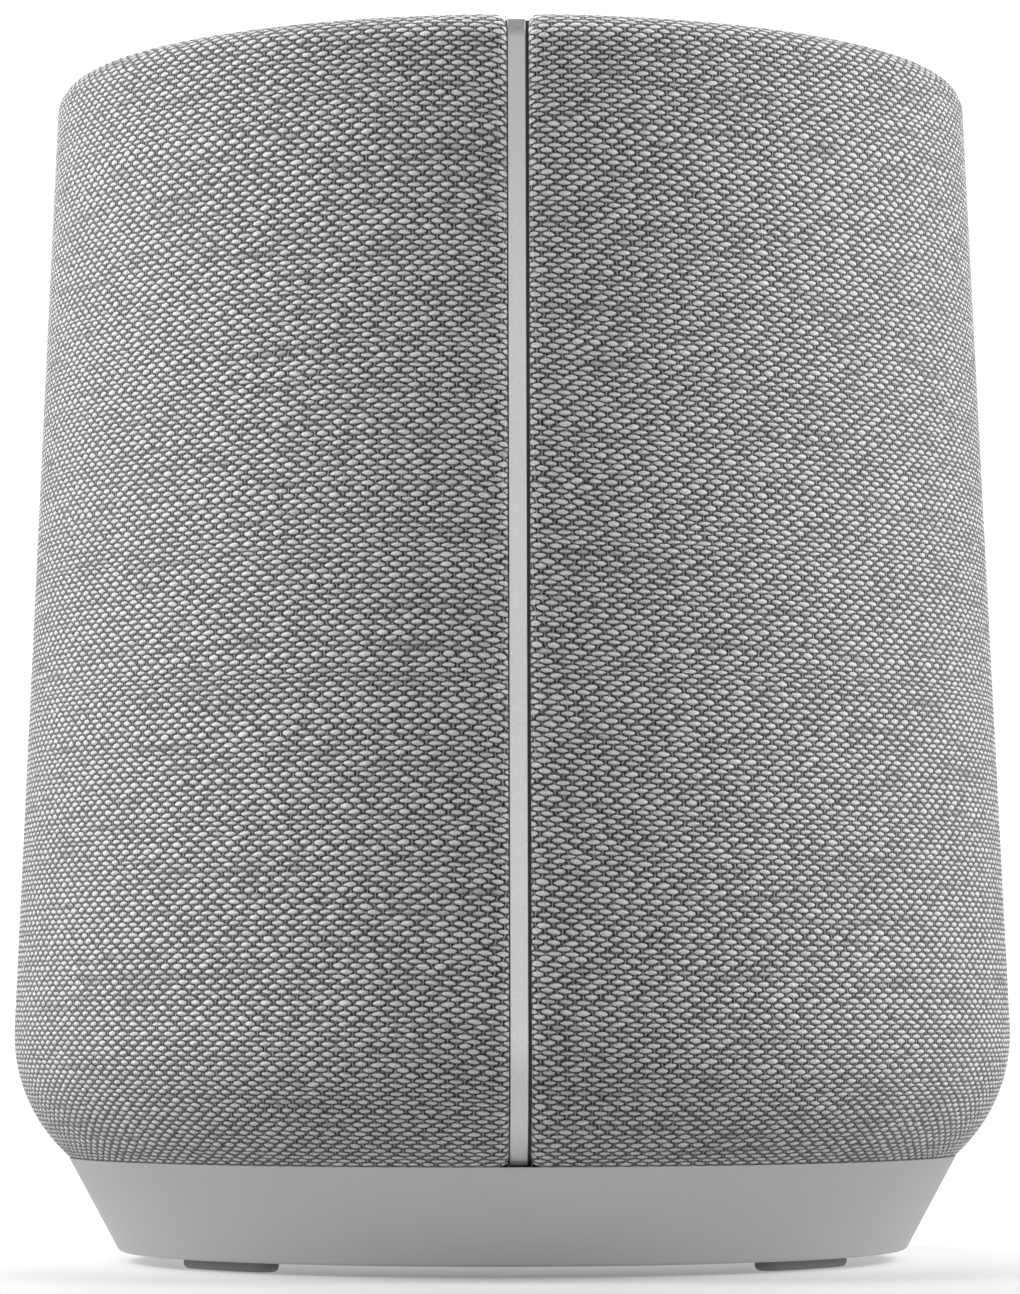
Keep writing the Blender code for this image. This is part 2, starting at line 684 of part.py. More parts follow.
def build_radiator():
    top = RADIATOR_Z
    ring("radiator_frame", RADIATOR_R_IN, RADIATOR_R_OUT, top + GAP, ENCL_BOTTOM_Z - GAP, SEG_DRIVER, BLACK)
    outer = [(45.0, top), (41.0, top)]
    outer += arch(41.0, top, 35.0, top, -3.4, 4)[1:-1]
    outer += [(35.0, top), (32.0, top)]
    thick = 0.8
    lower = [(r, z - thick) for r, z in outer]
    revolve("radiator_surround", outer + lower[::-1], SEG_DRIVER, ROLL)
    face = top + GAP + DIAPHRAGM_T
    disc("radiator_diaphragm", DIAPHRAGM_R, top + GAP, face, SEG_DRIVER, BLACK)
    disc("radiator_weight", WEIGHT_R, face + GAP, WEIGHT_TOP_Z, 24, STEEL)


def build_woofer():
    flange_z0 = LID_TOP_Z + GAP
    flange_z1 = flange_z0 + 2.0
    basket_profile = [
        (45.5, flange_z1), (FLANGE_R, flange_z1), (FLANGE_R, flange_z0), (47.4, flange_z0), (46.9, 133.0),
        (33.2, 110.5), (33.2, 103.3), (16.0, 103.3), (16.0, 105.0), (31.2, 105.0), (31.2, 111.0),
        (45.5, 134.6),
    ]
    basket = revolve("woofer_basket", basket_profile, SEG_DRIVER, STEEL)
    windows = []
    for i in range(6):
        window = box("window", (20.0, -8.0, 114.0), (60.0, 8.0, 130.0), STEEL)
        turn = math.tau * i / 6.0
        for vert in window.data.vertices:
            x, y, z = vert.co
            vert.co = (
                x * math.cos(turn) - y * math.sin(turn), x * math.sin(turn) + y * math.cos(turn), z,
            )
        windows.append(window)
    cut(basket, windows, STEEL)

    land_z = flange_z1 + GAP
    glue_z = CONE_EDGE_Z + CONE_T + GAP
    lower = [(50.0, land_z), (46.0, land_z)] + arch(46.0, land_z, 40.6, glue_z, 3.6, 4)[1:-1]
    lower += [(40.6, glue_z), (37.6, glue_z)]
    upper = [(r, z + SURROUND_T) for r, z in lower]
    revolve("woofer_surround", lower + upper[::-1], SEG_DRIVER, ROLL)

    slope = (CONE_EDGE_Z - CONE_NECK_Z) / (CONE_EDGE_R - 2.5 - CONE_NECK_R)
    cone_profile = [
        (CONE_NECK_R, CONE_NECK_Z), (CONE_EDGE_R - 2.5, CONE_EDGE_Z), (CONE_EDGE_R, CONE_EDGE_Z),
        (CONE_EDGE_R, CONE_EDGE_Z + CONE_T), (CONE_EDGE_R - 3.1, CONE_EDGE_Z + CONE_T),
        (CONE_NECK_R, CONE_NECK_Z + CONE_T + 0.4),
    ]
    revolve("woofer_cone", cone_profile, SEG_DRIVER, PAPER)

    cap_z = CONE_NECK_Z + slope * (CAP_R - CONE_NECK_R) + CONE_T + 1.0
    steps = 4
    outer = []
    inner = []
    for i in range(steps + 1):
        share = i / steps
        bulge = 1.0 - share ** 2
        outer.append((CAP_R * share, cap_z + CAP_T + CAP_RISE * bulge))
        inner.append(((CAP_R - CAP_T) * share, cap_z + (CAP_RISE - CAP_T) * bulge + CAP_T * 0.3))
    inner.reverse()
    revolve("woofer_dust_cap", outer + inner, 24, PAPER, closed=False)

    ring("voice_coil", FORMER_R - FORMER_T, FORMER_R, COIL_Z0, CONE_NECK_Z + 2.0, 24, COPPER)
    wave = [(SPIDER_R_IN, SPIDER_Z)]
    for i in range(1, SPIDER_WAVES):
        r = SPIDER_R_IN + (SPIDER_R_OUT - SPIDER_R_IN) * i / SPIDER_WAVES
        wave.append((r, SPIDER_Z + (0.8 if i % 2 else -0.8)))
    wave.append((SPIDER_R_OUT, SPIDER_Z))
    spider = wave + [(r, z + 0.5) for r, z in reversed(wave)]
    revolve("woofer_spider", spider, SEG_DRIVER, CLOTH)
    ring("woofer_top_plate", FORMER_R + 0.6, PLATE_R, PLATE_Z0, PLATE_Z1, 24, STEEL)
    ring("woofer_magnet", 18.0, MAGNET_R, MAGNET_Z0, MAGNET_Z1, 24, FERRITE)
    yoke_profile = [
        (0.0, PLATE_Z1), (POLE_R, PLATE_Z1), (POLE_R, YOKE_Z1), (PLATE_R, YOKE_Z1),
        (PLATE_R, YOKE_Z0), (0.0, YOKE_Z0),
    ]
    revolve("woofer_yoke", yoke_profile, 24, STEEL, closed=False)


# ---- upper module ---------------------------------------------------------------------------
def build_upper():
    top_z = HOUSING_Z0 - GAP
    reflector_profile = [
        (0.0, top_z), (REFLECTOR_R, top_z), (REFLECTOR_R, REFLECTOR_Z), (34.0, REFLECTOR_Z),
        (16.0, 147.0), (6.0, 144.6), (0.0, 143.8),
    ]
    reflector = revolve("acoustic_reflector", reflector_profile, SEG_DRIVER, BLACK, closed=False)
    pillars = []
    for az in QUARTER_AZ_DEG:
        x, y = polar(PILLAR_RING_R, az)
        pillars.append(post("pillar", PILLAR_R, x, y, LID_TOP_Z + GAP, REFLECTOR_Z + 1.0, BLACK))
    join(reflector, pillars, BLACK)

    wall_r = HOUSING_R - HOUSING_WALL
    housing = ring("upper_housing", wall_r, HOUSING_R, HOUSING_Z0, HOUSING_Z1, SEG_RING, BLACK)
    holes = []
    for sign in (1.0, -1.0):
        hole = disc("hole", TWEETER_HOLE_R, 50.0, 80.0, 24, BLACK)
        for vert in hole.data.vertices:
            x, y, z = vert.co
            vert.co = (sign * z, y, TWEETER_Z * MM - sign * x)
        holes.append(hole)
    cut(housing, holes, BLACK)

    for side, sign in (("right", 1.0), ("left", -1.0)):
        # local +Z points outward; the faceplate's back lies just outside the housing wall
        body_profile = [
            (0.0, -3.0), (7.0, -3.0), (7.6, -1.6), (9.0, -1.6), (8.6, 0.4), (9.8, 2.0), (13.5, 2.0),
            (13.5, 0.0), (11.0, 0.0), (11.0, -13.0), (0.0, -13.0),
        ]
        body = revolve(f"tweeter_{side}_housing", body_profile, SEG_SMALL, BLACK, closed=False)
        steps = 3
        outer = []
        inner = []
        for i in range(steps + 1):
            share = i / steps
            bulge = 1.0 - share ** 2
            outer.append((DOME_R * share, -0.4 + DOME_RISE * bulge))
            inner.append(((DOME_R - 0.6) * share, -0.9 + (DOME_RISE - 0.1) * bulge))
        inner.reverse()
        dome = revolve(f"tweeter_{side}_dome", outer + inner, SEG_SMALL, SILK, closed=False)
        for piece in (body, dome):
            piece.rotation_euler = (0.0, sign * math.pi / 2.0, 0.0)
            piece.location = (sign * (HOUSING_R + GAP) * MM, 0.0, TWEETER_Z * MM)

    z1 = MAIN_BOARD_Z + PCB_T
    box("main_board", (-32.0, -30.0, MAIN_BOARD_Z), (32.0, 30.0, z1), BOARD)
    low = (-SINK_HALF_X, -SINK_HALF_Y, z1 + GAP)
    sink = box("amplifier_heat_sink", low, (SINK_HALF_X, SINK_HALF_Y, z1 + GAP + 2.1), ALUMINIUM)
    fins = []
    for i in range(6):
        x = -SINK_HALF_X + FIN_PITCH * i
        fins.append(box("fin", (x, -SINK_HALF_Y, 168.0), (x + FIN_T, SINK_HALF_Y, SINK_TOP_Z), ALUMINIUM))
    join(sink, fins, ALUMINIUM)
    box("antenna", (-14.0, 59.0, 155.0), (14.0, 60.2, 166.0), BOARD)

    floor_z = CARRIER_Z0 + 2.0
    rib_top = CARRIER_TOP_Z - 0.7
    carrier_profile = [
        (CARRIER_R, CARRIER_TOP_Z), (CARRIER_R, CARRIER_Z0), (20.0, CARRIER_Z0), (20.0, floor_z),
        (59.0, floor_z), (59.0, rib_top), (62.0, rib_top), (62.0, floor_z),
        (BEZEL_R_IN, floor_z), (BEZEL_R_IN, CARRIER_TOP_Z),
    ]
    carrier = revolve("top_carrier", carrier_profile, SEG_RING, SHELL)
    posts = []
    for az in QUARTER_AZ_DEG:
        x, y = polar(STAND_RING_R, az)
        posts.append(post("stand", STAND_R, x, y, CARRIER_Z0 + 1.0, BOARD_Z - GAP, SHELL, segments=12))
    join(carrier, posts, SHELL)
    disc("control_board", CONTROL_BOARD_R, BOARD_Z, BOARD_Z + BOARD_T, SEG_DRIVER, BOARD)


def build_light_board():
    """Ring board with a row of light emitters standing on it."""
    cells = LIGHT_CELLS
    low, top, raised = LIGHT_BOARD_Z
    r_in = LIGHT_BOARD_R[0]
    r_out = LIGHT_BOARD_R[-1]
    bm = bmesh.new()
    shell = {}

    def vert(r, i, z):
        key = (r, i % cells, z)
        if key not in shell:
            x, y = polar(r, 360.0 * i / cells)
            shell[key] = bm.verts.new((x * MM, y * MM, z * MM))
        return shell[key]

    for i in range(cells):
        lit = i % 3 == 0
        for band in range(3):
            a = LIGHT_BOARD_R[band]
            b = LIGHT_BOARD_R[band + 1]
            bm.faces.new((vert(a, i, low), vert(a, i + 1, low), vert(b, i + 1, low), vert(b, i, low)))
            if band == 1 and lit:
                z = raised
                bm.faces.new((vert(a, i, top), vert(a, i, z), vert(a, i + 1, z), vert(a, i + 1, top)))
                bm.faces.new((vert(b, i, top), vert(b, i + 1, top), vert(b, i + 1, z), vert(b, i, z)))
                bm.faces.new((vert(a, i, top), vert(b, i, top), vert(b, i, z), vert(a, i, z)))
                bm.faces.new(
                    (vert(a, i + 1, top), vert(a, i + 1, z), vert(b, i + 1, z), vert(b, i + 1, top))
                )
            else:
                z = top
            bm.faces.new((vert(a, i, z), vert(b, i, z), vert(b, i + 1, z), vert(a, i + 1, z)))
        nxt = i + 1
        bm.faces.new((vert(r_out, i, low), vert(r_out, nxt, low), vert(r_out, nxt, top), vert(r_out, i, top)))
        bm.faces.new((vert(r_in, i, low), vert(r_in, i, top), vert(r_in, nxt, top), vert(r_in, nxt, low)))
    bmesh.ops.recalc_face_normals(bm, faces=bm.faces)
    settle(add_object("light_board", bm, BOARD), BOARD)


def build_top():
    bezel_profile = [
        (BEZEL_R_OUT, BEZEL_Z1 - 0.2), (BEZEL_R_OUT, BEZEL_Z0), (BEZEL_R_IN, BEZEL_Z0),
        (BEZEL_R_IN, BEZEL_Z1 - 0.6), (BEZEL_R_IN + 0.4, BEZEL_Z1), (BEZEL_R_OUT - 0.4, BEZEL_Z1),
    ]
    revolve("top_bezel", bezel_profile, SEG_RING, BLACK)
    lens_top = PANEL_TOP_Z + 0.1
    ring("light_ring", PANEL_R + GAP, LIGHT_RING_R, LIGHT_RING_Z, lens_top, SEG_RING, DIFFUSER)

    panel = disc("top_panel", PANEL_R, PANEL_TOP_Z - PANEL_T, PANEL_TOP_Z, SEG_RING, PANEL)
    cutters = []
    for _, az in KEYS:
        x, y = polar(KEY_RING_R, az)
        cutters.append(post("key_hole", KEY_R + GAP, x, y, 180.0, 200.0, PANEL, segments=24))
    for az in MIC_AZ_DEG:
        x, y = polar(MIC_RING_R, az)
        cutters.append(post("sound_hole", MIC_HOLE_R, x, y, 180.0, 200.0, PANEL, segments=8))
    cut(panel, cutters, PANEL)

    under = PANEL_TOP_Z - PANEL_T - GAP
    floor_z = BOARD_Z + BOARD_T + GAP
    mat_z = floor_z + DOME_MAT_T
    mat_in = KEY_RING_R - DOME_MAT_HALF_W
    mat_out = KEY_RING_R + DOME_MAT_HALF_W
    dome_mat = ring("key_dome_mat", mat_in, mat_out, floor_z, mat_z, SEG_DRIVER, SILICONE)
    domes = []
    hollows = []
    for name, az in KEYS:
        x, y = polar(KEY_RING_R, az)
        crown = PANEL_TOP_Z + KEY_PROUD
        rim_r = KEY_R + KEY_FLANGE_W
        rim_z = under - KEY_FLANGE_T
        stem_z = DOME_TOP_Z + GAP
        key_profile = [
            (0.0, crown - 0.4), (KEY_R - 2.5, crown - 0.3), (KEY_R - 0.5, crown), (KEY_R, crown - 0.4),
            (KEY_R, under), (rim_r, under), (rim_r, rim_z), (KEY_STEM_R, rim_z),
            (KEY_STEM_R, stem_z), (0.0, stem_z),
        ]
        key = revolve(f"{name}_key", key_profile, SEG_SMALL, KEYCAP, closed=False)
        key.location = (x * MM, y * MM, 0.0)
        dome_profile = [
            (0.0, DOME_TOP_Z), (2.6, DOME_TOP_Z), (4.8, mat_z + 0.3), (6.0, mat_z + 0.2),
            (6.0, floor_z + 0.2), (0.0, floor_z + 0.2),
        ]
        domes.append(shift(revolve("dome", dome_profile, 12, SILICONE, closed=False), (x, y, 0.0)))
        hollows.append(post("hollow", 2.2, x, y, 180.0, DOME_TOP_Z - 1.0, SILICONE, segments=10))
    join(dome_mat, domes, SILICONE)
    cut(dome_mat, hollows, SILICONE)
    for number, az in enumerate(MIC_AZ_DEG, start=1):
        x, y = polar(MIC_RING_R, az)
        low = (x - 2.0, y - 1.5, floor_z)
        box(f"microphone_{number}", low, (x + 2.0, y + 1.5, floor_z + MIC_T), STEEL)


build_skin()
build_grille()
build_base()
build_power()
build_chassis()
build_cable()
build_enclosure()
build_radiator()
build_woofer()
build_upper()
build_light_board()
build_top()
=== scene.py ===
"""Looks of the smart speaker: woven sleeve, satin trim strip, painted base, key panel, and inner parts.

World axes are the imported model's: +Z up from the feet, the trim strip faces -Y, keys on top.
Lengths are in metres, and MM turns millimetres into metres. A name or comment says so where a number stays in
millimetres, and weave coordinates count floats round the sleeve (U) and rows up it (V).
"""
import math

import bmesh
import bpy
import numpy as np
from mathutils import Matrix, Vector


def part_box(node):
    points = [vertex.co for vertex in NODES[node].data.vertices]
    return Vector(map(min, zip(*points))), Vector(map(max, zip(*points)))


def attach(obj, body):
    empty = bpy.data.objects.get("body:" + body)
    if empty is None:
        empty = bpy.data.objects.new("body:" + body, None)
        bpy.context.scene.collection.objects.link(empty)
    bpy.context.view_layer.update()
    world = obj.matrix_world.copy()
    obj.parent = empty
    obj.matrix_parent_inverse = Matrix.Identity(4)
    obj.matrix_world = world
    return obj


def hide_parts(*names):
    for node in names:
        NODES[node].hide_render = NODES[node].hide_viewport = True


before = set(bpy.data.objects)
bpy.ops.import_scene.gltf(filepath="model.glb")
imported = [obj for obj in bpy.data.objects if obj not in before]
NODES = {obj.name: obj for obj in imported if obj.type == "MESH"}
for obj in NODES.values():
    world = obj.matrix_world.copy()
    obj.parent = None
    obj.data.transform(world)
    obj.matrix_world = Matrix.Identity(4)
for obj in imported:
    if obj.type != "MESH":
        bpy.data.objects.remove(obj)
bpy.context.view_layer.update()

MM = 0.001

# ---- outer form, from the frame
SLEEVE_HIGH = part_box("fabric_sleeve")[1]
STRIP_LOW_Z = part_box("seam_trim_strip")[0].z
BASE_LOW, BASE_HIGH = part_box("base_skirt")
PANEL_LOW, PANEL_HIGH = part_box("top_panel")
BEZEL_LOW, BEZEL_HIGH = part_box("top_bezel")
LIGHT_LOW, LIGHT_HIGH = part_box("light_ring")
COVER_LOW, COVER_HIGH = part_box("bottom_cover")

TOP_Z = SLEEVE_HIGH.z
BELLY_R = SLEEVE_HIGH.x
BASE_TOP_Z = BASE_HIGH.z
BASE_TOP_R = BASE_HIGH.x
BASE_LOW_Z = BASE_LOW.z
BASE_LOW_R = COVER_HIGH.x + 1.9 * MM
BELLY_Z = 37.5 * MM  # height of the widest point
BELLY_ARC = 27.0 * MM  # curve under the widest point
TAPER = math.radians(2.45)
RIM_ARC = 4.4 * MM
TUCK_R = BEZEL_HIGH.x + 0.3 * MM
TUCK_ARC = 1.3 * MM
TUCK_Z = TOP_Z - 5.5 * MM
HEM_ARC = 0.55 * MM
HEM_TURN = math.radians(165.0)  # how far the hem rolls under
HEM_Z = BASE_TOP_Z - 0.05 * MM

BELLY_C = BELLY_R - BELLY_ARC
TAPER_R0 = BELLY_C + BELLY_ARC * math.cos(TAPER)
TAPER_Z0 = BELLY_Z + BELLY_ARC * math.sin(TAPER)
RIM_CZ = TOP_Z - RIM_ARC
RIM_CR = (
    TAPER_R0
    - (RIM_CZ + RIM_ARC * math.sin(TAPER) - TAPER_Z0) * math.tan(TAPER)
    - RIM_ARC * math.cos(TAPER)
)

# ---- woven sleeve
SEED = 7  # of the row thicknesses
FLOATS_AROUND = 190  # weft floats in one turn
PANELS = 5  # pieces that the sleeve is made from
FLOATS_PER_PANEL = FLOATS_AROUND // PANELS
WEAVE_OFFSET = 10.0  # keeps every float's number above zero
ROW_PITCH = 0.797 * MM
FLOAT_PITCH = 2.67 * MM
ROW_UNEVEN = 0.09  # spread of the row thickness
RELIEF = 0.17 * MM  # crest to valley of the woven surface
FLAT_EDGE = 1.2 * MM  # beside the slot, over the rim and at the hem the relief fades over these
FLAT_RIM = 1.5 * MM
FLAT_HEM = 2.2 * MM

# the rows drift beside the slot: by how much, and over what distance, both in millimetres
DRIFT_RIGHT = (1.05, 18.0)
DRIFT_LEFT = (-0.80, 16.0)
DRIFT_LEFT_EDGE = (-0.45, 3.0)
DRIFT_TOP = (-1.5, 3.6)
LEAN = math.radians(3.6)  # of the columns, their tops towards the slot
LEAN_MIDDLE = 98.0 * MM
LEAN_REACH = 62.0 * MM
LEAN_WIDTH = 130.0 * MM

# one weft float, in pitches along the row and rows across it
FLOAT_LENGTH = (0.355, 0.43)  # half lengths
FLOAT_WIDTH = (0.41, 0.52)  # half widths
FLOAT_SLIDE = 0.05  # how far it lies off its place along
FLOAT_SHIFT = 0.065  # and across
FLOAT_SLOPE = 0.26
ROW_WOBBLE = 0.075
FIBRE_WARM = (0.530, 0.514, 0.513)
FIBRE_COOL = (0.513, 0.507, 0.517)
WARP_RGB = (0.310, 0.301, 0.302)
# painted shade in the gaps between floats, and painted shadow, nearly black, beside the floats' ends
PIT_SHADE_RGB = (0.105, 0.1015, 0.102)
HOLLOW_SHADOW_RGB = (0.003, 0.003, 0.003)
WEAVE_BUMP = 0.46 * MM

# ---- slot and strip
SLOT_HALF = 1.72 * MM
SLOT_ARC = 0.9 * MM  # roll of the fabric edge into the slot
SLOT_DEPTH = 1.3 * MM  # straight part of the folded edge
SLOT_FOLD = SLOT_DEPTH + SLOT_ARC * math.pi / 2.0
SLOT_CORNER = 1.3 * MM  # height over which the slot's top corners open out
CORNER_RIGHT = 0.55 * MM
CORNER_LEFT = 1.10 * MM
HEM_CORNER = 0.9 * MM
STRIP_WIDTH = 2.80 * MM
STRIP_THICK = 0.9 * MM
STRIP_EDGE = 0.16 * MM
STRIP_SINK = 0.70 * MM
STRIP_SIDE = -0.18 * MM  # the strip sits a little left in its slot
STRIP_TOP_DEG = 97.0  # how far over the rim it runs
STRIP_RGB = (0.620, 0.613, 0.603)
CHANNEL_LIP = 0.30 * MM  # of the black channel, under the cloth's edges
CHANNEL_SHELF = -0.25 * MM
CHANNEL_BOTTOM = 1.4 * MM
CHANNEL_LIFT = 0.3 * MM  # its lower end above the strip's

# ---- base and feet
BASE_RGB = (0.428, 0.428, 0.440)
BASE_TOP_EDGE = 0.16 * MM
BASE_LOW_EDGE = 3.4 * MM
BASE_INNER_EDGE = 0.2 * MM
BASE_WALL = 2.2 * MM
BASE_LIP = 0.9 * MM  # width of its flat top
BASE_COVER_GAP = 0.25 * MM
BASE_BORE = 2.4 * MM  # depth of the straight bore round the cover
NOTCH_HALF = 2.7 * MM  # cord notch at the back
NOTCH_TOP = 5.4 * MM
NOTCH_ARC = 1.6 * MM
FEET = 4
FOOT_WIDTH = 5.0 * MM
FOOT_RING = 58.5 * MM
FOOT_SPAN = math.radians(16.8)  # between the middles of the round ends
FOOT_TURN = math.radians(51.6)  # from the front or back
FOOT_EDGE = 0.9 * MM
FOOT_SUNK = 0.6 * MM  # into the cover

# ---- top
BEZEL_INNER = 66.9 * MM
LENS_WIDTH = 3.3 * MM
LENS_CROWN = 0.35 * MM
PANEL_DISH = 0.30 * MM
PANEL_EDGE = 0.25 * MM
PANEL_BEVEL = 0.14 * MM
MIC_RING = 54.0 * MM
MIC_HOLE = 0.9 * MM
MIC_AZ_DEG = (45.0, 225.0)
KEY_HOLE = 8.85 * MM
KEY_DISH = 0.40 * MM
KEY_DISH_R = 7.6 * MM
KEY_R = 8.5 * MM
KEY_FLANGE_R = 9.7 * MM
KEY_FLANGE_Z = (189.8 * MM, 190.7 * MM)
KEY_STEM_R = 3.0 * MM
ICON_SUNK = 0.52 * MM  # the icons' undersides below the keys' rims
ICON_RISE = 0.22 * MM
ICON_STEP = 0.01 * MM  # keeps crossing marks from sharing a face

# ---- stage
CAMERA_DISTANCE = 0.868
CAMERA_HEIGHT = 0.0394
CAMERA_PITCH = 0.0718
CAMERA_LENS = 144.65
CAMERA_YAW = math.radians(0.88)
CAMERA_PAN = math.radians(0.016)
CAMERA_ROLL = math.radians(-0.12)
LIGHT_AIM = (0.0, 0.0, 0.11)
LIGHT_SIZE = (0.40, 0.7)
LEFT_LIGHT, LEFT_POWER = (-0.66, -0.02, 0.66), 13.0
RIGHT_LIGHT, RIGHT_POWER = (0.70, -0.03, 0.64), 11.4
WORLD_FRONT = 0.50
WORLD_LOW = 0.50
WORLD_SIDE = 0.98
WORLD_SEEN = (1.2, 1.2, 1.2)
FLOOR_HALF = 6.0
# the floor's glow: a painted shadow, dim close round the base, brighter beside it and further off
FLOOR_GLOW_NEAR = 0.24
FLOOR_GLOW_SIDE = 0.50
FLOOR_LAMP_SIDE = 0.35
FLOOR_GLOW_FAR = 0.86

SEGMENTS = 256  # of a turned part
SHARP = math.radians(38.0)  # edges sharper than this stay crisp


# ---- small helpers
def arc(cx, cy, radius, start, end, steps):
    """Points on an arc about (cx, cy), both ends included."""
    angles = [start + (end - start) * i / steps for i in range(steps + 1)]
    return [(cx + radius * math.cos(a), cy + radius * math.sin(a)) for a in angles]


def polar(radius, angle):
    return radius * math.cos(angle), radius * math.sin(angle)


def fillet(corners, steps=5):
    """Closed outline from (x, y, radius) corners, each corner rounded."""
    outline = []
    count = len(corners)
    for i, (x, y, radius) in enumerate(corners):
        here = Vector((x, y))
        before = Vector(corners[i - 1][:2])
        after = Vector(corners[(i + 1) % count][:2])
        if radius <= 0.0:
            outline.append((x, y))
            continue
        back = (before - here).normalized()
        on = (after - here).normalized()
        half = back.angle(on) / 2.0
        reach = min(radius / math.tan(half), 0.49 * (before - here).length, 0.49 * (after - here).length)
        start = here + back * reach
        end = here + on * reach
        for k in range(steps + 1):
            t = k / steps
            point = start * (1.0 - t) ** 2 + here * (2.0 * t * (1.0 - t)) + end * t * t
            outline.append((point.x, point.y))
    return outline


def linked(name, data):
    obj = bpy.data.objects.new(name, data)
    bpy.context.scene.collection.objects.link(obj)
    return obj


def add_object(name, mesh, mat):
    obj = linked(name, mesh)
    mesh.materials.clear()
    mesh.materials.append(mat)
    return obj


def smooth(mesh):
    mesh.shade_smooth()
    mesh.set_sharp_from_angle(angle=SHARP)


def from_bmesh(name, bm, mat):
    mesh = bpy.data.meshes.new(name)
    bm.to_mesh(mesh)
    bm.free()
    smooth(mesh)
    return add_object(name, mesh, mat)


def turned(name, outline, mat, centre=(0.0, 0.0), segments=SEGMENTS):
    """Solid of revolution about a vertical axis from a closed (radius, z) outline."""
    bm = bmesh.new()
    rings = []
    for radius, z in outline:
        points = arc(*centre, radius, 0.0, math.tau, segments)[:-1] if radius > 1e-6 else [centre]
        rings.append([bm.verts.new((*point, z)) for point in points])
    for lower, upper in zip(rings, rings[1:] + rings[:1]):
        for i in range(max(len(lower), len(upper))):
            j = (i + 1) % segments
            corners = [ring[k % len(ring)] for ring, k in ((lower, i), (lower, j), (upper, j), (upper, i))]
            corners = list(dict.fromkeys(corners))
            if len(corners) > 2:
                bm.faces.new(corners)
    bmesh.ops.recalc_face_normals(bm, faces=bm.faces)
    return from_bmesh(name, bm, mat)


def skin(bm, rings):
    """Join closed rings of equal length, cap both ends, and turn every face outwards."""
    for a, b in zip(rings, rings[1:]):
        for i in range(len(a)):
            j = (i + 1) % len(a)
            bm.faces.new((a[i], a[j], b[j], b[i]))
    bm.faces.new(rings[0])
    bm.faces.new(rings[-1])
    bmesh.ops.recalc_face_normals(bm, faces=bm.faces)


def level_ring(bm, outline, z):
    return [bm.verts.new((x, y, z)) for x, y in outline]


def prism(name, outline, z0, z1, mat):
    bm = bmesh.new()
    skin(bm, [level_ring(bm, outline, z0), level_ring(bm, outline, z1)])
    return from_bmesh(name, bm, mat)


def disc(centre, radius, z0, z1, mat, segments):
    return prism("hole_cutter", arc(*centre, radius, 0.0, math.tau, segments)[:-1], z0, z1, mat)


def apply_modifiers(obj):
    depsgraph = bpy.context.evaluated_depsgraph_get()
    mesh = bpy.data.meshes.new_from_object(obj.evaluated_get(depsgraph))
    obj.modifiers.clear()
    obj.data = mesh
    smooth(mesh)


def cut(obj, cutters):
    for cutter in cutters:
        mod = obj.modifiers.new("Cut", "BOOLEAN")
        mod.operation = "DIFFERENCE"
        mod.solver = "EXACT"
        mod.object = cutter
    apply_modifiers(obj)
    for cutter in cutters:
        bpy.data.objects.remove(cutter, do_unlink=True)


def dress(obj, body, slot, *nodes):
    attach(obj, body)
    if nodes:
        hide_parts(*nodes)


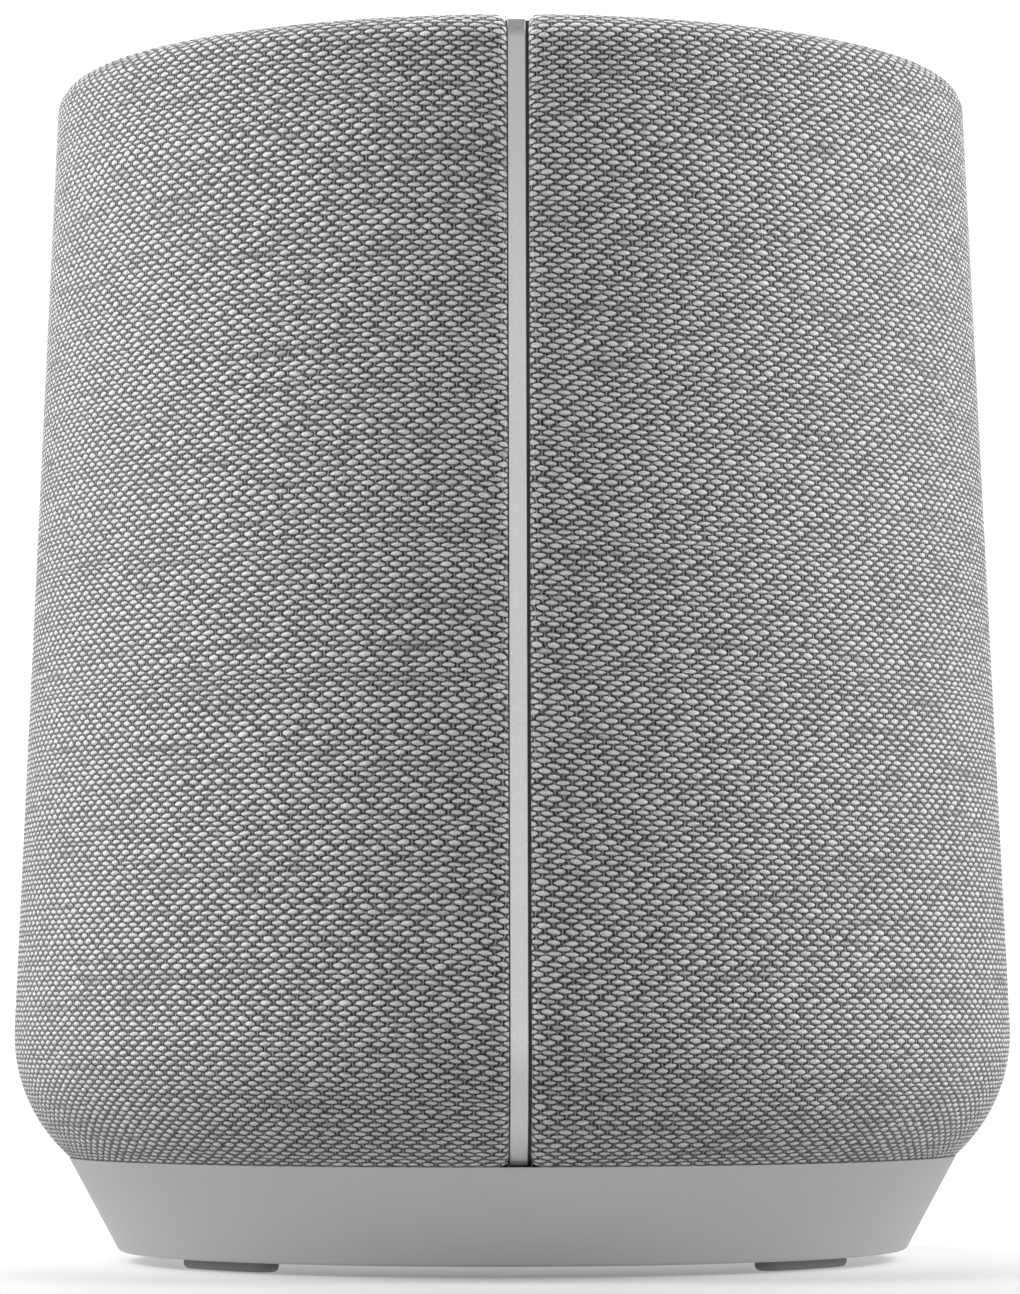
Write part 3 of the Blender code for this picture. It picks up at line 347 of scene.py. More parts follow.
# ---- node graphs
class Graph:
    """Short names for building one node tree."""

    def __init__(self, tree):
        self.tree = tree

    def add(self, kind, *values, **settings):
        """A node with its settings, and its first inputs' values in order."""
        node = self.tree.nodes.new(kind)
        for key, value in settings.items():
            setattr(node, key, value)
        for socket, value in zip(node.inputs, values):
            self.put(value, socket)
        return node

    def put(self, value, socket):
        if isinstance(value, bpy.types.NodeSocket):
            self.tree.links.new(value, socket)
        else:
            socket.default_value = value

    def math(self, operation, *values, clamp=False):
        return self.add("ShaderNodeMath", *values, operation=operation, use_clamp=clamp).outputs[0]

    def plus(self, a, b):
        return self.math("ADD", a, b)

    def minus(self, a, b):
        return self.math("SUBTRACT", a, b)

    def times(self, a, b):
        return self.math("MULTIPLY", a, b)

    def vector(self, x, y, z=0.0):
        return self.add("ShaderNodeCombineXYZ", x, y, z).outputs[0]

    def split(self, vector):
        return self.add("ShaderNodeSeparateXYZ", vector).outputs

    def scale(self, vector, factors):
        return self.add("ShaderNodeVectorMath", vector, factors, operation="MULTIPLY").outputs[0]

    def noise(self, vector, scale, detail=3.0, rough=0.55, distortion=0.0):
        node = self.add("ShaderNodeTexNoise", vector, noise_dimensions="3D")
        settings = {"Scale": scale, "Detail": detail, "Roughness": rough, "Distortion": distortion}
        for name, value in settings.items():
            node.inputs[name].default_value = value
        return node.outputs["Fac"]

    def voronoi(self, vector, scale, output="Distance"):
        node = self.add("ShaderNodeTexVoronoi", vector, feature="F1")
        node.inputs["Scale"].default_value = scale
        return node.outputs[output]

    def span(self, value, *limits, smooth=False):
        """A value taken from between the first two limits to between the last two."""
        kind = "SMOOTHSTEP" if smooth else "LINEAR"
        return self.add("ShaderNodeMapRange", value, *limits, interpolation_type=kind).outputs[0]

    def rise(self, value, low, high, smooth=False):
        """0 below low, 1 above high."""
        return self.span(value, low, high, 0.0, 1.0, smooth=smooth)

    def vary(self, noise, low, high):
        """A noise's usual range, 0.3 to 0.7, taken to low and high."""
        return self.span(noise, 0.3, 0.7, low, high)

    def either(self, chance, limit):
        """A random number from 0 to 1, taken to between -limit and limit."""
        return self.span(chance, 0.0, 1.0, -limit, limit)

    def mix(self, factor, a, b, blend="MIX"):
        node = self.add("ShaderNodeMix", data_type="RGBA", blend_type=blend)
        self.put(factor, node.inputs["Factor"])
        for item, socket in ((a, node.inputs[6]), (b, node.inputs[7])):
            self.put(item if isinstance(item, bpy.types.NodeSocket) else (*item, 1.0), socket)
        return node.outputs[2]

    def grey(self, value):
        return self.add("ShaderNodeCombineColor", value, value, value).outputs[0]

    def shaded(self, colour, shade):
        return self.mix(1.0, colour, self.grey(shade), "MULTIPLY")

    def surface(self, colour, rough, height, distance):
        """Colour, roughness and bump of a surface."""
        self.put(colour, self.shader["Base Color"])
        self.put(rough, self.shader["Roughness"])
        node = self.add("ShaderNodeBump")
        node.inputs["Strength"].default_value = 1.0
        node.inputs["Distance"].default_value = distance
        self.put(height, node.inputs["Height"])
        self.put(node.outputs[0], self.shader["Normal"])

    def places(self):
        return self.add("ShaderNodeTexCoord").outputs["Object"]


def new_material(name, even=()):
    """A material and its graph, with a Principled shader, some of whose sockets have one value all over."""
    mat = bpy.data.materials.new(name)
    mat.use_nodes = True
    mat.node_tree.nodes.clear()
    graph = Graph(mat.node_tree)
    output = graph.add("ShaderNodeOutputMaterial")
    shader = graph.add("ShaderNodeBsdfPrincipled")
    graph.put(shader.outputs[0], output.inputs[0])
    graph.shader = shader.inputs
    for socket, value in dict(even).items():
        graph.shader[socket].default_value = value
    return mat, graph


def finish_material(
    name, rgb, rough, mottle=0.08, grain=0.4 * MM, grain_depth=0.01 * MM,
    smudge=0.06, specular=0.5, sheen=0.0,
):
    """General surface: mottled colour, uneven gloss and a fine grain, all procedural."""
    mat, g = new_material(name, {"Specular IOR Level": specular, "Sheen Weight": sheen})
    spots = g.places()
    broad = g.noise(spots, 35.0, 3.0)
    fine = g.noise(spots, 1.0 / grain, 2.0, 0.6)
    shade = g.plus(g.vary(broad, 1.0 - mottle, 1.0 + mottle), g.vary(fine, -mottle, mottle))
    gloss = g.plus(g.vary(broad, -smudge, smudge), g.vary(fine, -smudge, smudge))
    g.surface(g.shaded(rgb, shade), g.math("ADD", gloss, rough, clamp=True), fine, grain_depth)
    return mat


# ---- fabric material
def yarn_group():
    """Node group: one row's weft float at weave coordinates (U along the row, V across the rows).

    Gives its height (0 off the float, 1 on the crest), the distance from the float's middle in
    pitches, the signed place across, and two random numbers that are constant over the float."""
    tree = bpy.data.node_groups.new("weft_float", "ShaderNodeTree")
    for name in ("U", "V", "Row"):
        tree.interface.new_socket(name, in_out="INPUT", socket_type="NodeSocketFloat")
    for name in ("Height", "Along", "Across", "Tone", "Kind"):
        tree.interface.new_socket(name, in_out="OUTPUT", socket_type="NodeSocketFloat")
    g = Graph(tree)
    given = g.add("NodeGroupInput").outputs
    result = g.add("NodeGroupOutput").inputs
    stagger = g.times(g.math("FLOORED_MODULO", given["Row"], 2.0), 0.5)
    along = g.minus(given["U"], stagger)
    column = g.math("FLOOR", along)
    dice = g.add("ShaderNodeTexWhiteNoise", noise_dimensions="2D")
    g.put(g.vector(column, given["Row"]), dice.inputs["Vector"])
    roll = g.add("ShaderNodeSeparateColor")
    g.put(dice.outputs["Color"], roll.inputs[0])
    a, b, c = roll.outputs[:3]
    middle = g.minus(g.minus(along, column), 0.5)
    fx = g.plus(middle, g.either(a, FLOAT_SLIDE))
    fy = g.minus(g.minus(given["V"], given["Row"]), 0.5)
    fy = g.plus(fy, g.either(b, FLOAT_SHIFT))
    fy = g.plus(fy, g.times(fx, g.either(c, FLOAT_SLOPE)))
    x = g.math("DIVIDE", fx, g.span(b, 0, 1, *FLOAT_LENGTH))
    y = g.math("DIVIDE", fy, g.span(a, 0, 1, *FLOAT_WIDTH))
    reach = g.plus(g.math("POWER", g.math("ABSOLUTE", x), 1.5), g.math("POWER", g.math("ABSOLUTE", y), 2.0))
    height = g.math("SQRT", g.math("MAXIMUM", g.minus(1.0, reach), 0.0))
    outputs = {"Height": height, "Along": middle, "Across": fy, "Tone": dice.outputs["Value"], "Kind": c}
    for name, value in outputs.items():
        g.put(value, result[name])
    return tree


def fabric_material():
    """Plain weave of thick light weft floats over thin warp threads, from the mesh's weave coordinates."""
    even = {"Specular IOR Level": 0.12, "Sheen Weight": 0.24, "Sheen Roughness": 0.50}
    mat, g = new_material("fabric_weave", even)
    weave = g.add("ShaderNodeAttribute", attribute_name="weave").outputs["Vector"]
    u, v, mask = g.split(weave)
    wobble = g.noise(g.scale(weave, (2.0, 1.3, 0.0)), 1.0, 1.0)
    v = g.plus(v, g.span(wobble, 0.25, 0.75, -ROW_WOBBLE, ROW_WOBBLE))
    row = g.math("FLOOR", v)
    side = g.math("SIGN", g.minus(g.minus(v, row), 0.4999))
    tree = yarn_group()
    floats = []
    for index in (row, g.plus(row, side)):
        node = g.add("ShaderNodeGroup", node_tree=tree)
        for name, value in (("U", u), ("V", v), ("Row", index)):
            g.put(value, node.inputs[name])
        floats.append(node.outputs)
    near, far = floats
    upper = g.math("GREATER_THAN", far["Height"], near["Height"])

    def pick(name):
        return g.plus(near[name], g.times(upper, g.minus(far[name], near[name])))

    height = pick("Height")
    tone = pick("Tone")
    kind = pick("Kind")
    # fibres of the float run at a slant, from the yarn's twist
    twist = g.plus(g.times(u, 6.0), g.times(v, -3.5))
    lengthwise = g.plus(g.times(u, 2.0), g.times(v, 3.0))
    ply = g.noise(g.vector(twist, lengthwise, g.times(tone, 9.0)), 1.0, 3.0, 0.75)
    fleck = g.noise(g.scale(weave, (11.0, 4.5, 1.0)), 1.0, 3.0, 0.7)
    # a warp thread stands upright in the gap between the ends of two floats
    slant = g.times(near["Across"], g.either(near["Tone"], 0.16))
    from_middle = g.math("ABSOLUTE", g.plus(near["Along"], slant))
    warp = g.rise(from_middle, 0.44, 0.48, smooth=True)
    warp_tone = g.span(fleck, 0.30, 0.62, 0.10, 1.0)
    # the gaps are painted dark as shade, and darkest beside the ends of the floats as painted shadow
    depth = g.noise(g.scale(weave, (2.6, 2.1, 1.0)), 1.0, 2.0, 0.6)
    pit_shadow = g.times(g.span(from_middle, 0.20, 0.36, 0.15, 1.0), g.span(depth, 0.36, 0.58, 0.2, 1.0))
    pit = g.mix(pit_shadow, PIT_SHADE_RGB, HOLLOW_SHADOW_RGB)
    gap = g.mix(g.times(warp, warp_tone), pit, WARP_RGB)
    # here and there a length of weft is spun thinner and lies darker
    slub = g.noise(g.vector(g.times(u, 0.11), g.times(row, 5.3), 0.0), 1.0, 2.0)
    thin = g.span(slub, 0.55, 0.72, 1.0, 0.67, smooth=True)
    shade = g.times(g.span(ply, 0.28, 0.72, 0.70, 1.18), g.span(tone, 0.0, 1.0, 0.95, 1.05))
    shade = g.times(shade, g.vary(fleck, 0.64, 1.31))
    # painted shade: each float darker towards its edges, where it dips under its neighbours
    shade = g.times(shade, g.span(height, 0.12, 0.66, 0.68, 1.00, smooth=True))
    shade = g.times(shade, thin)
    fibre = g.shaded(g.mix(kind, FIBRE_WARM, FIBRE_COOL), shade)
    yarn = g.rise(height, 0.05, 0.52, smooth=True)
    relief = g.math("MAXIMUM", height, g.times(warp, 0.35))
    relief = g.plus(relief, g.times(ply, 0.34))
    relief = g.times(relief, mask)
    g.surface(g.mix(yarn, gap, fibre), 0.80, relief, WEAVE_BUMP)
    return mat


# ---- fabric mesh
def sleeve_path():
    """Dense (r, z) points along the sleeve's face: hem roll, belly, taper, rim and inner tuck."""
    low = math.asin((HEM_Z + HEM_ARC - BELLY_Z) / (BELLY_ARC - HEM_ARC))
    hem_r = BELLY_C + (BELLY_ARC - HEM_ARC) * math.cos(low)
    points = arc(hem_r, HEM_Z + HEM_ARC, HEM_ARC, low - HEM_TURN, low, 40)
    points += arc(BELLY_C, BELLY_Z, BELLY_ARC, low, TAPER, 240)[1:]
    steps = 1200
    top_r = RIM_CR + RIM_ARC * math.cos(TAPER)
    top_z = RIM_CZ + RIM_ARC * math.sin(TAPER)
    r0, z0 = points[-1]
    points += [(r0 + (top_r - r0) * i / steps, z0 + (top_z - z0) * i / steps) for i in range(1, steps)]
    points += arc(RIM_CR, RIM_CZ, RIM_ARC, TAPER, math.pi / 2.0, 80)
    points += arc(TUCK_R + TUCK_ARC, TOP_Z - TUCK_ARC, TUCK_ARC, math.pi / 2.0, math.pi, 24)
    points.append((TUCK_R, TUCK_Z))
    return np.array(points)


class Path:
    """The sleeve path by arc length."""

    def __init__(self):
        points = sleeve_path()
        steps = np.linalg.norm(np.diff(points, axis=0), axis=1)
        keep = np.concatenate(([True], steps > 1e-9))
        self.points = points[keep]
        steps = np.linalg.norm(np.diff(self.points, axis=0), axis=1)
        self.length = np.concatenate(([0.0], np.cumsum(steps)))
        self.total = self.length[-1]
        self.crown = self.length[np.argmax(self.points[:, 1])]

    def place(self, s):
        r = np.interp(s, self.length, self.points[:, 0])
        z = np.interp(s, self.length, self.points[:, 1])
        return r, z


def row_positions(path, rng):
    """Arc length at the start of every weft row; row thickness varies a little."""
    rows = int(round(path.total / ROW_PITCH))
    pitch = 1.0 + ROW_UNEVEN * np.clip(rng.standard_normal(rows), -2.0, 2.0)
    edges = np.concatenate(([0.0], np.cumsum(pitch)))
    return edges * path.total / edges[-1]


def float_heights(u, v):
    """Height of the woven surface, 0 to 1: a crest in the middle of each float, rows half a float apart."""
    return 0.5 + 0.5 * np.cos(math.tau * (u - 0.5)) * np.cos(math.pi * (v - 0.5))


def part_way(x, low, high):
    return np.clip((x - low) / (high - low), 0.0, 1.0)


def ease(x, low, high):
    x = part_way(x, low, high)
    return x * x * (3.0 - 2.0 * x)


def row_drift(t, z):
    """How far the weft rows run off level, by distance from the slot (t, metres, right positive)."""
    away = np.abs(t) / MM

    def drift(size, reach):
        return size * np.exp(-away / reach)

    left = drift(*DRIFT_LEFT) + drift(*DRIFT_LEFT_EDGE)
    inside = ease(z, HEM_Z, HEM_Z + 14.0 * MM) * (1.0 - ease(z, TOP_Z - 22.0 * MM, TOP_Z - 4.0 * MM))
    dip = drift(*DRIFT_TOP) * ease(z, TOP_Z - 50.0 * MM, TOP_Z - 8.0 * MM)
    return (np.where(t >= 0.0, drift(*DRIFT_RIGHT), left) * inside + dip) * MM


def column_lean(t, z):
    """How far the columns run off upright, in floats: their tops lean towards the slot."""
    rise = LEAN_REACH * np.tanh((z - LEAN_MIDDLE) / LEAN_REACH)
    near = 1.0 - ease(np.abs(t), 0.0, LEAN_WIDTH)
    return np.sign(t) * math.tan(LEAN) * rise * near / FLOAT_PITCH


def edge_tangent(q, slot_half, total):
    """Distance round from the slot centre and depth below the face, for developed distance q."""

    def side(d):
        phi = np.clip((d - SLOT_DEPTH) / SLOT_ARC, 0.0, math.pi / 2.0)
        t = slot_half + SLOT_ARC * (1.0 - np.cos(phi)) + np.maximum(d - SLOT_FOLD, 0.0)
        depth = SLOT_ARC * (1.0 - np.sin(phi)) + np.maximum(SLOT_DEPTH - d, 0.0)
        return t, depth

    t_right, depth_right = side(q)
    t_left, depth_left = side(total - q)
    right = q < total / 2.0
    return np.where(right, t_right, -t_left), np.where(right, depth_right, depth_left)


def sleeve_grid(path, edges, us, vs):
    """Sleeve at weave coordinates, before relief: place, outward direction, angle round, depth below the
    face (in the slot's folds), share of relief and lean of the columns."""
    s = np.interp(vs, np.arange(len(edges)), edges)[None, :] + np.zeros((len(us), 1))
    r, z = path.place(s)
    from_top = np.where(s > path.crown, 1.0, part_way(z, TOP_Z - SLOT_CORNER, TOP_Z))
    from_hem = part_way(HEM_Z + HEM_CORNER - z, 0.0, HEM_CORNER)
    u = np.asarray(us)[:, None]
    top_open = 1.0 - np.sqrt(1.0 - from_top ** 2)
    low_corner = HEM_CORNER * (1.0 - np.sqrt(1.0 - from_hem ** 2))
    top_corner = np.where(u < FLOATS_AROUND / 2.0, CORNER_RIGHT, CORNER_LEFT) * top_open
    slot_half = SLOT_HALF + low_corner + top_corner
    gap = 2.0 * (SLOT_HALF + low_corner + SLOT_ARC - SLOT_FOLD) + (CORNER_RIGHT + CORNER_LEFT) * top_open
    total = math.tau * r - gap
    q = u / FLOATS_AROUND * total
    t, depth = edge_tangent(q, slot_half, total)
    s = np.clip(s + row_drift(t, z), 0.0, path.total)
    r, z = path.place(s)
    step = 0.02 * MM
    r_ahead, z_ahead = path.place(np.minimum(s + step, path.total))
    r_back, z_back = path.place(np.maximum(s - step, 0.0))
    along = np.hypot(r_ahead - r_back, z_ahead - z_back)
    nr = (z_ahead - z_back) / along
    nz = -(r_ahead - r_back) / along
    angle = -math.pi / 2.0 + t / r
    open_face = part_way(np.minimum(q, total - q) - SLOT_FOLD, 0.0, FLAT_EDGE)
    rim_in = part_way(s, path.crown, path.crown + FLAT_RIM)
    hem_in = 1.0 - part_way(s, 0.0, FLAT_HEM)
    mask = (0.2 + 0.8 * open_face) * (1.0 - 0.8 * rim_in) * (1.0 - 0.75 * hem_in)
    return r, z, nr, nz, angle, depth, mask, column_lean(t, z)


def panel_columns(number):
    """Places of one panel's mesh columns, in floats: four to a float, and eight beside the slot."""
    us = list(np.arange((number - 1) * FLOATS_PER_PANEL * 4, number * FLOATS_PER_PANEL * 4 + 1) / 4.0)
    fine = np.arange(0, 12) / 8.0
    if number == 1:
        us = list(fine) + [x for x in us if x >= 1.5]
    if number == PANELS:
        us = [x for x in us if x <= FLOATS_AROUND - 1.5] + list(FLOATS_AROUND - fine[::-1])
    return us


def sleeve_panel(number, path, edges, mat):
    """One fifth of the sleeve as a single sheet aligned with the weave."""
    us = panel_columns(number)
    # a column beyond each seam is worked out too, so that neighbours share their normals there
    ghost_low = number > 1
    ghost_high = number < PANELS
    full = np.array(([us[0] - 0.25] if ghost_low else []) + us + ([us[-1] + 0.25] if ghost_high else []))
    vs = np.arange(0, 2 * (len(edges) - 1) + 1) / 2.0

    r, z, nr, nz, angle, depth, mask, lean = sleeve_grid(path, edges, full, vs)
    uu = full[:, None] + WEAVE_OFFSET + lean
    vv = vs[None, :] + np.zeros((len(full), 1))
    out = (float_heights(uu, vv) - 0.5) * RELIEF * mask - depth
    radius = r + nr * out
    points = np.stack((radius * np.cos(angle), radius * np.sin(angle), z + nz * out), axis=-1)
    normals = np.cross(np.gradient(points, axis=0), np.gradient(points, axis=1))
    normals /= np.maximum(np.linalg.norm(normals, axis=-1, keepdims=True), 1e-12)
    weave = np.stack((uu, vv, mask), axis=-1)
    own = slice(int(ghost_low), len(full) - int(ghost_high))
    points, normals, weave = points[own], normals[own], weave[own]

    nu, nv = points.shape[:2]
    index = np.arange(nu * nv).reshape(nu, nv)
    quads = np.stack((index[:-1, :-1], index[1:, :-1], index[1:, 1:], index[:-1, 1:]), axis=-1).reshape(-1, 4)
    mesh = bpy.data.meshes.new(f"sleeve_panel_{number}")
    mesh.vertices.add(nu * nv)
    mesh.vertices.foreach_set("co", points.reshape(-1).astype(np.float32))
    mesh.loops.add(len(quads) * 4)
    mesh.loops.foreach_set("vertex_index", quads.reshape(-1).astype(np.int32))
    mesh.polygons.add(len(quads))
    mesh.polygons.foreach_set("loop_start", (np.arange(len(quads)) * 4).astype(np.int32))
    mesh.update(calc_edges=True)
    mesh.shade_smooth()
    attribute = mesh.attributes.new("weave", "FLOAT_VECTOR", "POINT")
    attribute.data.foreach_set("vector", weave.reshape(-1).astype(np.float32))
    mesh.normals_split_custom_set_from_vertices(normals.reshape(-1, 3).astype(np.float32).tolist())
    return add_object(f"sleeve_panel_{number}", mesh, mat)


def build_sleeve():
    mat = fabric_material()
    path = Path()
    edges = row_positions(path, np.random.default_rng(SEED))
    for number in range(1, PANELS + 1):
        panel = sleeve_panel(number, path, edges, mat)
        dress(panel, "speaker_body", "fabric", "fabric_sleeve")


# ---- strip
def strip_material():
    mat, g = new_material("strip_satin_aluminium", {"Metallic": 1.0})
    spots = g.places()
    blast = g.noise(spots, 2400.0, 2.0, 0.7)
    broad = g.noise(g.scale(spots, (1.0, 1.0, 0.25)), 60.0, 2.0)
    shade = g.plus(g.vary(blast, -0.065, 0.065), g.vary(broad, 0.97, 1.03))
    # painted shade: the strip's colour darker towards its top
    upper = g.span(g.split(spots)[2], TOP_Z - 50.0 * MM, TOP_Z - 2.0 * MM, 1.0, 0.86)
    g.surface(g.shaded(STRIP_RGB, g.times(shade, upper)), g.vary(blast, 0.36, 0.46), blast, 0.006 * MM)
    return mat


def build_strip():
    """The strip, and the black channel that it lies in."""
    left = STRIP_SIDE - STRIP_WIDTH / 2.0
    right = STRIP_SIDE + STRIP_WIDTH / 2.0
    back = -STRIP_THICK
    section = fillet([(left, back, 0), (right, back, 0), (right, 0, STRIP_EDGE), (left, 0, STRIP_EDGE)], 4)
    strip = from_bmesh("trim_strip", slot_sweep(section, STRIP_SINK, 0.0), strip_material())
    dress(strip, "speaker_body", "trim_aluminium", "seam_trim_strip")

    black = finish_material("slot_channel_black", (0.012, 0.012, 0.012), 0.6)
    side = SLOT_HALF + CHANNEL_LIP
    bed = back - 0.05 * MM
    bottom = bed - CHANNEL_BOTTOM
    shelf = CHANNEL_SHELF
    section = [
        (-side, bottom), (side, bottom), (side, shelf), (right, shelf),
        (right, bed), (left, bed), (left, shelf), (-side, shelf),
    ]
    channel = from_bmesh("slot_channel", slot_sweep(section, STRIP_SINK, CHANNEL_LIFT), black)
    dress(channel, "speaker_body", "black_plastic")


def slot_sweep(section, sink, lift):
    """The (x, depth) section swept down the slot, its face sunk below the fabric's."""
    low = math.asin((STRIP_LOW_Z - 0.1 * MM + lift - BELLY_Z) / (BELLY_ARC - sink))
    over = arc(RIM_CR, RIM_CZ, RIM_ARC - sink, math.radians(STRIP_TOP_DEG), TAPER, 18)
    under = arc(BELLY_C, BELLY_Z, BELLY_ARC - sink, TAPER, low, 40)
    (r0, z0), (r1, z1) = over[-1], under[0]
    straight = [(r0 + (r1 - r0) * i / 60.0, z0 + (z1 - z0) * i / 60.0) for i in range(1, 60)]
    spine = over + straight + under
    bm = bmesh.new()
    rings = []
    for i, (r, z) in enumerate(spine):
        a = spine[max(i - 1, 0)]
        b = spine[min(i + 1, len(spine) - 1)]
        direction = Vector((b[0] - a[0], b[1] - a[1])).normalized()
        normal = Vector((-direction.y, direction.x))
        rings.append([bm.verts.new((x, -(r + normal.x * d), z + normal.y * d)) for x, d in section])
    skin(bm, rings)
    return bm


# ---- base
def base_material():
    mat, g = new_material("base_satin_paint", {"Specular IOR Level": 0.12})
    spots = g.places()
    peel = g.noise(spots, 900.0, 2.0, 0.5)
    flake = g.noise(spots, 5200.0, 1.0)
    broad = g.noise(spots, 40.0, 3.0)
    shade = g.plus(g.vary(flake, -0.03, 0.03), g.vary(broad, 0.98, 1.02))
    g.surface(g.shaded(BASE_RGB, shade), g.vary(broad, 0.46, 0.52), peel, 0.006 * MM)
    return mat


def build_base():
    mat = base_material()
    slope = (BASE_TOP_R - BASE_LOW_R) / (BASE_TOP_Z - BASE_LOW_Z)
    bore = COVER_HIGH.x + BASE_COVER_GAP
    drop = 4.0 * MM              # below it the wall is as steep as the outside
    outline = fillet([
        (BASE_TOP_R, BASE_TOP_Z, BASE_TOP_EDGE),
        (BASE_LOW_R, BASE_LOW_Z, BASE_LOW_EDGE),
        (bore, BASE_LOW_Z, BASE_INNER_EDGE),
        (bore, BASE_LOW_Z + BASE_BORE, 0.0),
        (BASE_TOP_R - BASE_WALL - drop * slope, BASE_TOP_Z - drop, 0.0),
        (BASE_TOP_R - BASE_WALL, BASE_TOP_Z - 0.5 * MM, BASE_INNER_EDGE),
        (BASE_TOP_R - BASE_LIP, BASE_TOP_Z, BASE_INNER_EDGE),
    ], 8)
    skirt = turned("base_shell", outline, mat)
    half, low, top, edge = NOTCH_HALF, -2.0 * MM, NOTCH_TOP, NOTCH_ARC
    notch = fillet([(-half, low, 0.0), (half, low, 0.0), (half, top, edge), (-half, top, edge)], 5)
    cutter = prism("cord_notch_cutter", notch, 0.0, 30.0 * MM, mat)
    cutter.data.transform(Matrix.Translation((0.0, 80.0 * MM, 0.0)) @ Matrix.Rotation(math.pi / 2.0, 4, "X"))
    cut(skirt, [cutter])
    dress(skirt, "speaker_body", "base_paint", "base_skirt")


def build_feet():
    """Four curved rubber pads under the bottom cover."""
    mat = finish_material("foot_grey_rubber", (0.235, 0.235, 0.242), 0.72, mottle=0.06, grain=0.25 * MM)
    half = FOOT_WIDTH / 2.0
    for number in range(1, FEET + 1):
        low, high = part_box(f"foot_{number}")
        across = math.copysign(math.sin(FOOT_TURN), low.x + high.x)
        along = math.copysign(math.cos(FOOT_TURN), low.y + high.y)
        middle = math.atan2(along, across)
        bm = bmesh.new()
        rings = []
        for inset, z in arc(FOOT_EDGE, FOOT_EDGE, FOOT_EDGE, -math.pi / 2.0, -math.pi, 5):
            rings.append(level_ring(bm, arc_pad(FOOT_RING, half - inset, middle), z))
        rings.append(level_ring(bm, arc_pad(FOOT_RING, half, middle), COVER_LOW.z + FOOT_SUNK))
        skin(bm, rings)
        foot = from_bmesh(f"rubber_foot_{number}", bm, mat)
        dress(foot, "speaker_body", "foot_rubber", f"foot_{number}")


def arc_pad(radius, half, middle):
    """Plan outline of a curved bar with round ends."""
    start = middle - FOOT_SPAN / 2.0
    end = middle + FOOT_SPAN / 2.0
    outline = arc(0.0, 0.0, radius + half, start, end, 24)
    outline += arc(*polar(radius, end), half, end, end + math.pi, 12)[1:-1]
    outline += arc(0.0, 0.0, radius - half, end, start, 24)
    outline += arc(*polar(radius, start), half, start + math.pi, start + math.tau, 12)[1:-1]
    return outline


# ---- top
def key_sites():
    """Middle of every key in plan, from its CAD box."""
    sites = {}
    for name in ICONS:
        low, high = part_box(name)
        sites[name] = ((low.x + high.x) / 2.0, (low.y + high.y) / 2.0)
    return sites


def build_bezel():
    mat = finish_material(
        "bezel_satin_black", (0.030, 0.030, 0.032), 0.45, mottle=0.05, specular=0.15, grain=0.3 * MM)
    outer, low, high = BEZEL_HIGH.x, BEZEL_LOW.z, BEZEL_HIGH.z
    outline = fillet([
        (outer, low, 0.0), (outer, high, 0.45 * MM), (BEZEL_INNER, high, 0.55 * MM), (BEZEL_INNER, low, 0.0),
    ], 6)
    dress(turned("bezel_ring", outline, mat), "speaker_body", "black_plastic", "top_bezel")


def build_light_ring():
    even = {"Subsurface Weight": 0.35, "Subsurface Scale": 1.0 * MM}
    mat, g = new_material("light_ring_milky", even)
    spots = g.places()
    haze = g.noise(spots, 180.0, 3.0)
    fine = g.noise(spots, 2600.0, 2.0)
    milk = g.mix(g.vary(haze, 0.0, 1.0), (0.34, 0.34, 0.336), (0.39, 0.39, 0.386))
    g.surface(milk, g.vary(fine, 0.30, 0.38), fine, 0.004 * MM)
    outer, top = LIGHT_HIGH.x, LIGHT_HIGH.z - LENS_CROWN
    shares = [i / 14.0 for i in range(15)]
    outline = [(outer - LENS_WIDTH * t, top + LENS_CROWN * math.sin(math.pi * t)) for t in shares]
    outline += [(outer - LENS_WIDTH, LIGHT_LOW.z), (outer, LIGHT_LOW.z)]
    dress(turned("light_ring_lens", outline, mat), "speaker_body", "diffuser_plastic", "light_ring")


def build_panel():
    """Slightly dished disc with a hole for every key and microphone."""
    mat = finish_material(
        "panel_fine_grain", (0.175, 0.175, 0.181), 0.56, mottle=0.015, smudge=0.03, specular=0.01,
        grain=0.22 * MM, grain_depth=0.02 * MM)
    z, radius = PANEL_HIGH.z, PANEL_HIGH.x
    outline = [(0.0, z - PANEL_DISH)]
    outline += [(radius * t, z - PANEL_DISH * (1.0 - t ** 4)) for t in [i / 20.0 for i in range(1, 20)]]
    outline += [(radius - PANEL_EDGE, z), (radius, z - PANEL_EDGE), (radius, PANEL_LOW.z), (0.0, PANEL_LOW.z)]
    panel = turned("control_panel", outline, mat)
    holes = [(site, KEY_HOLE, 96) for site in key_sites().values()]
    holes += [(polar(MIC_RING, math.radians(a)), MIC_HOLE, 32) for a in MIC_AZ_DEG]
    cut(panel, [disc(site, size, z - 6.0 * MM, z + 4.0 * MM, mat, steps) for site, size, steps in holes])
    mod = panel.modifiers.new("Edge", "BEVEL")
    mod.width = PANEL_BEVEL
    mod.segments = 2
    mod.limit_method = "ANGLE"
    mod.angle_limit = math.radians(50.0)
    apply_modifiers(panel)
    dress(panel, "speaker_body", "panel_plastic", "top_panel")


def key_outline(low, top):
    """Dished cap with a soft rim, a flange under the panel and a stem."""
    under, over = KEY_FLANGE_Z
    outline = [(0.0, top - KEY_DISH)]
    outline += [(KEY_DISH_R * t, top - KEY_DISH * (1.0 - t ** 2.4)) for t in [i / 16.0 for i in range(1, 17)]]
    outline += [(8.05 * MM, top - 0.03 * MM), (8.32 * MM, top - 0.14 * MM), (8.47 * MM, top - 0.38 * MM)]
    outline += [(KEY_R, top - 0.8 * MM), (KEY_R, over), (KEY_FLANGE_R, over), (KEY_FLANGE_R, under)]
    return outline + [(KEY_STEM_R, under), (KEY_STEM_R, low), (0.0, low)]


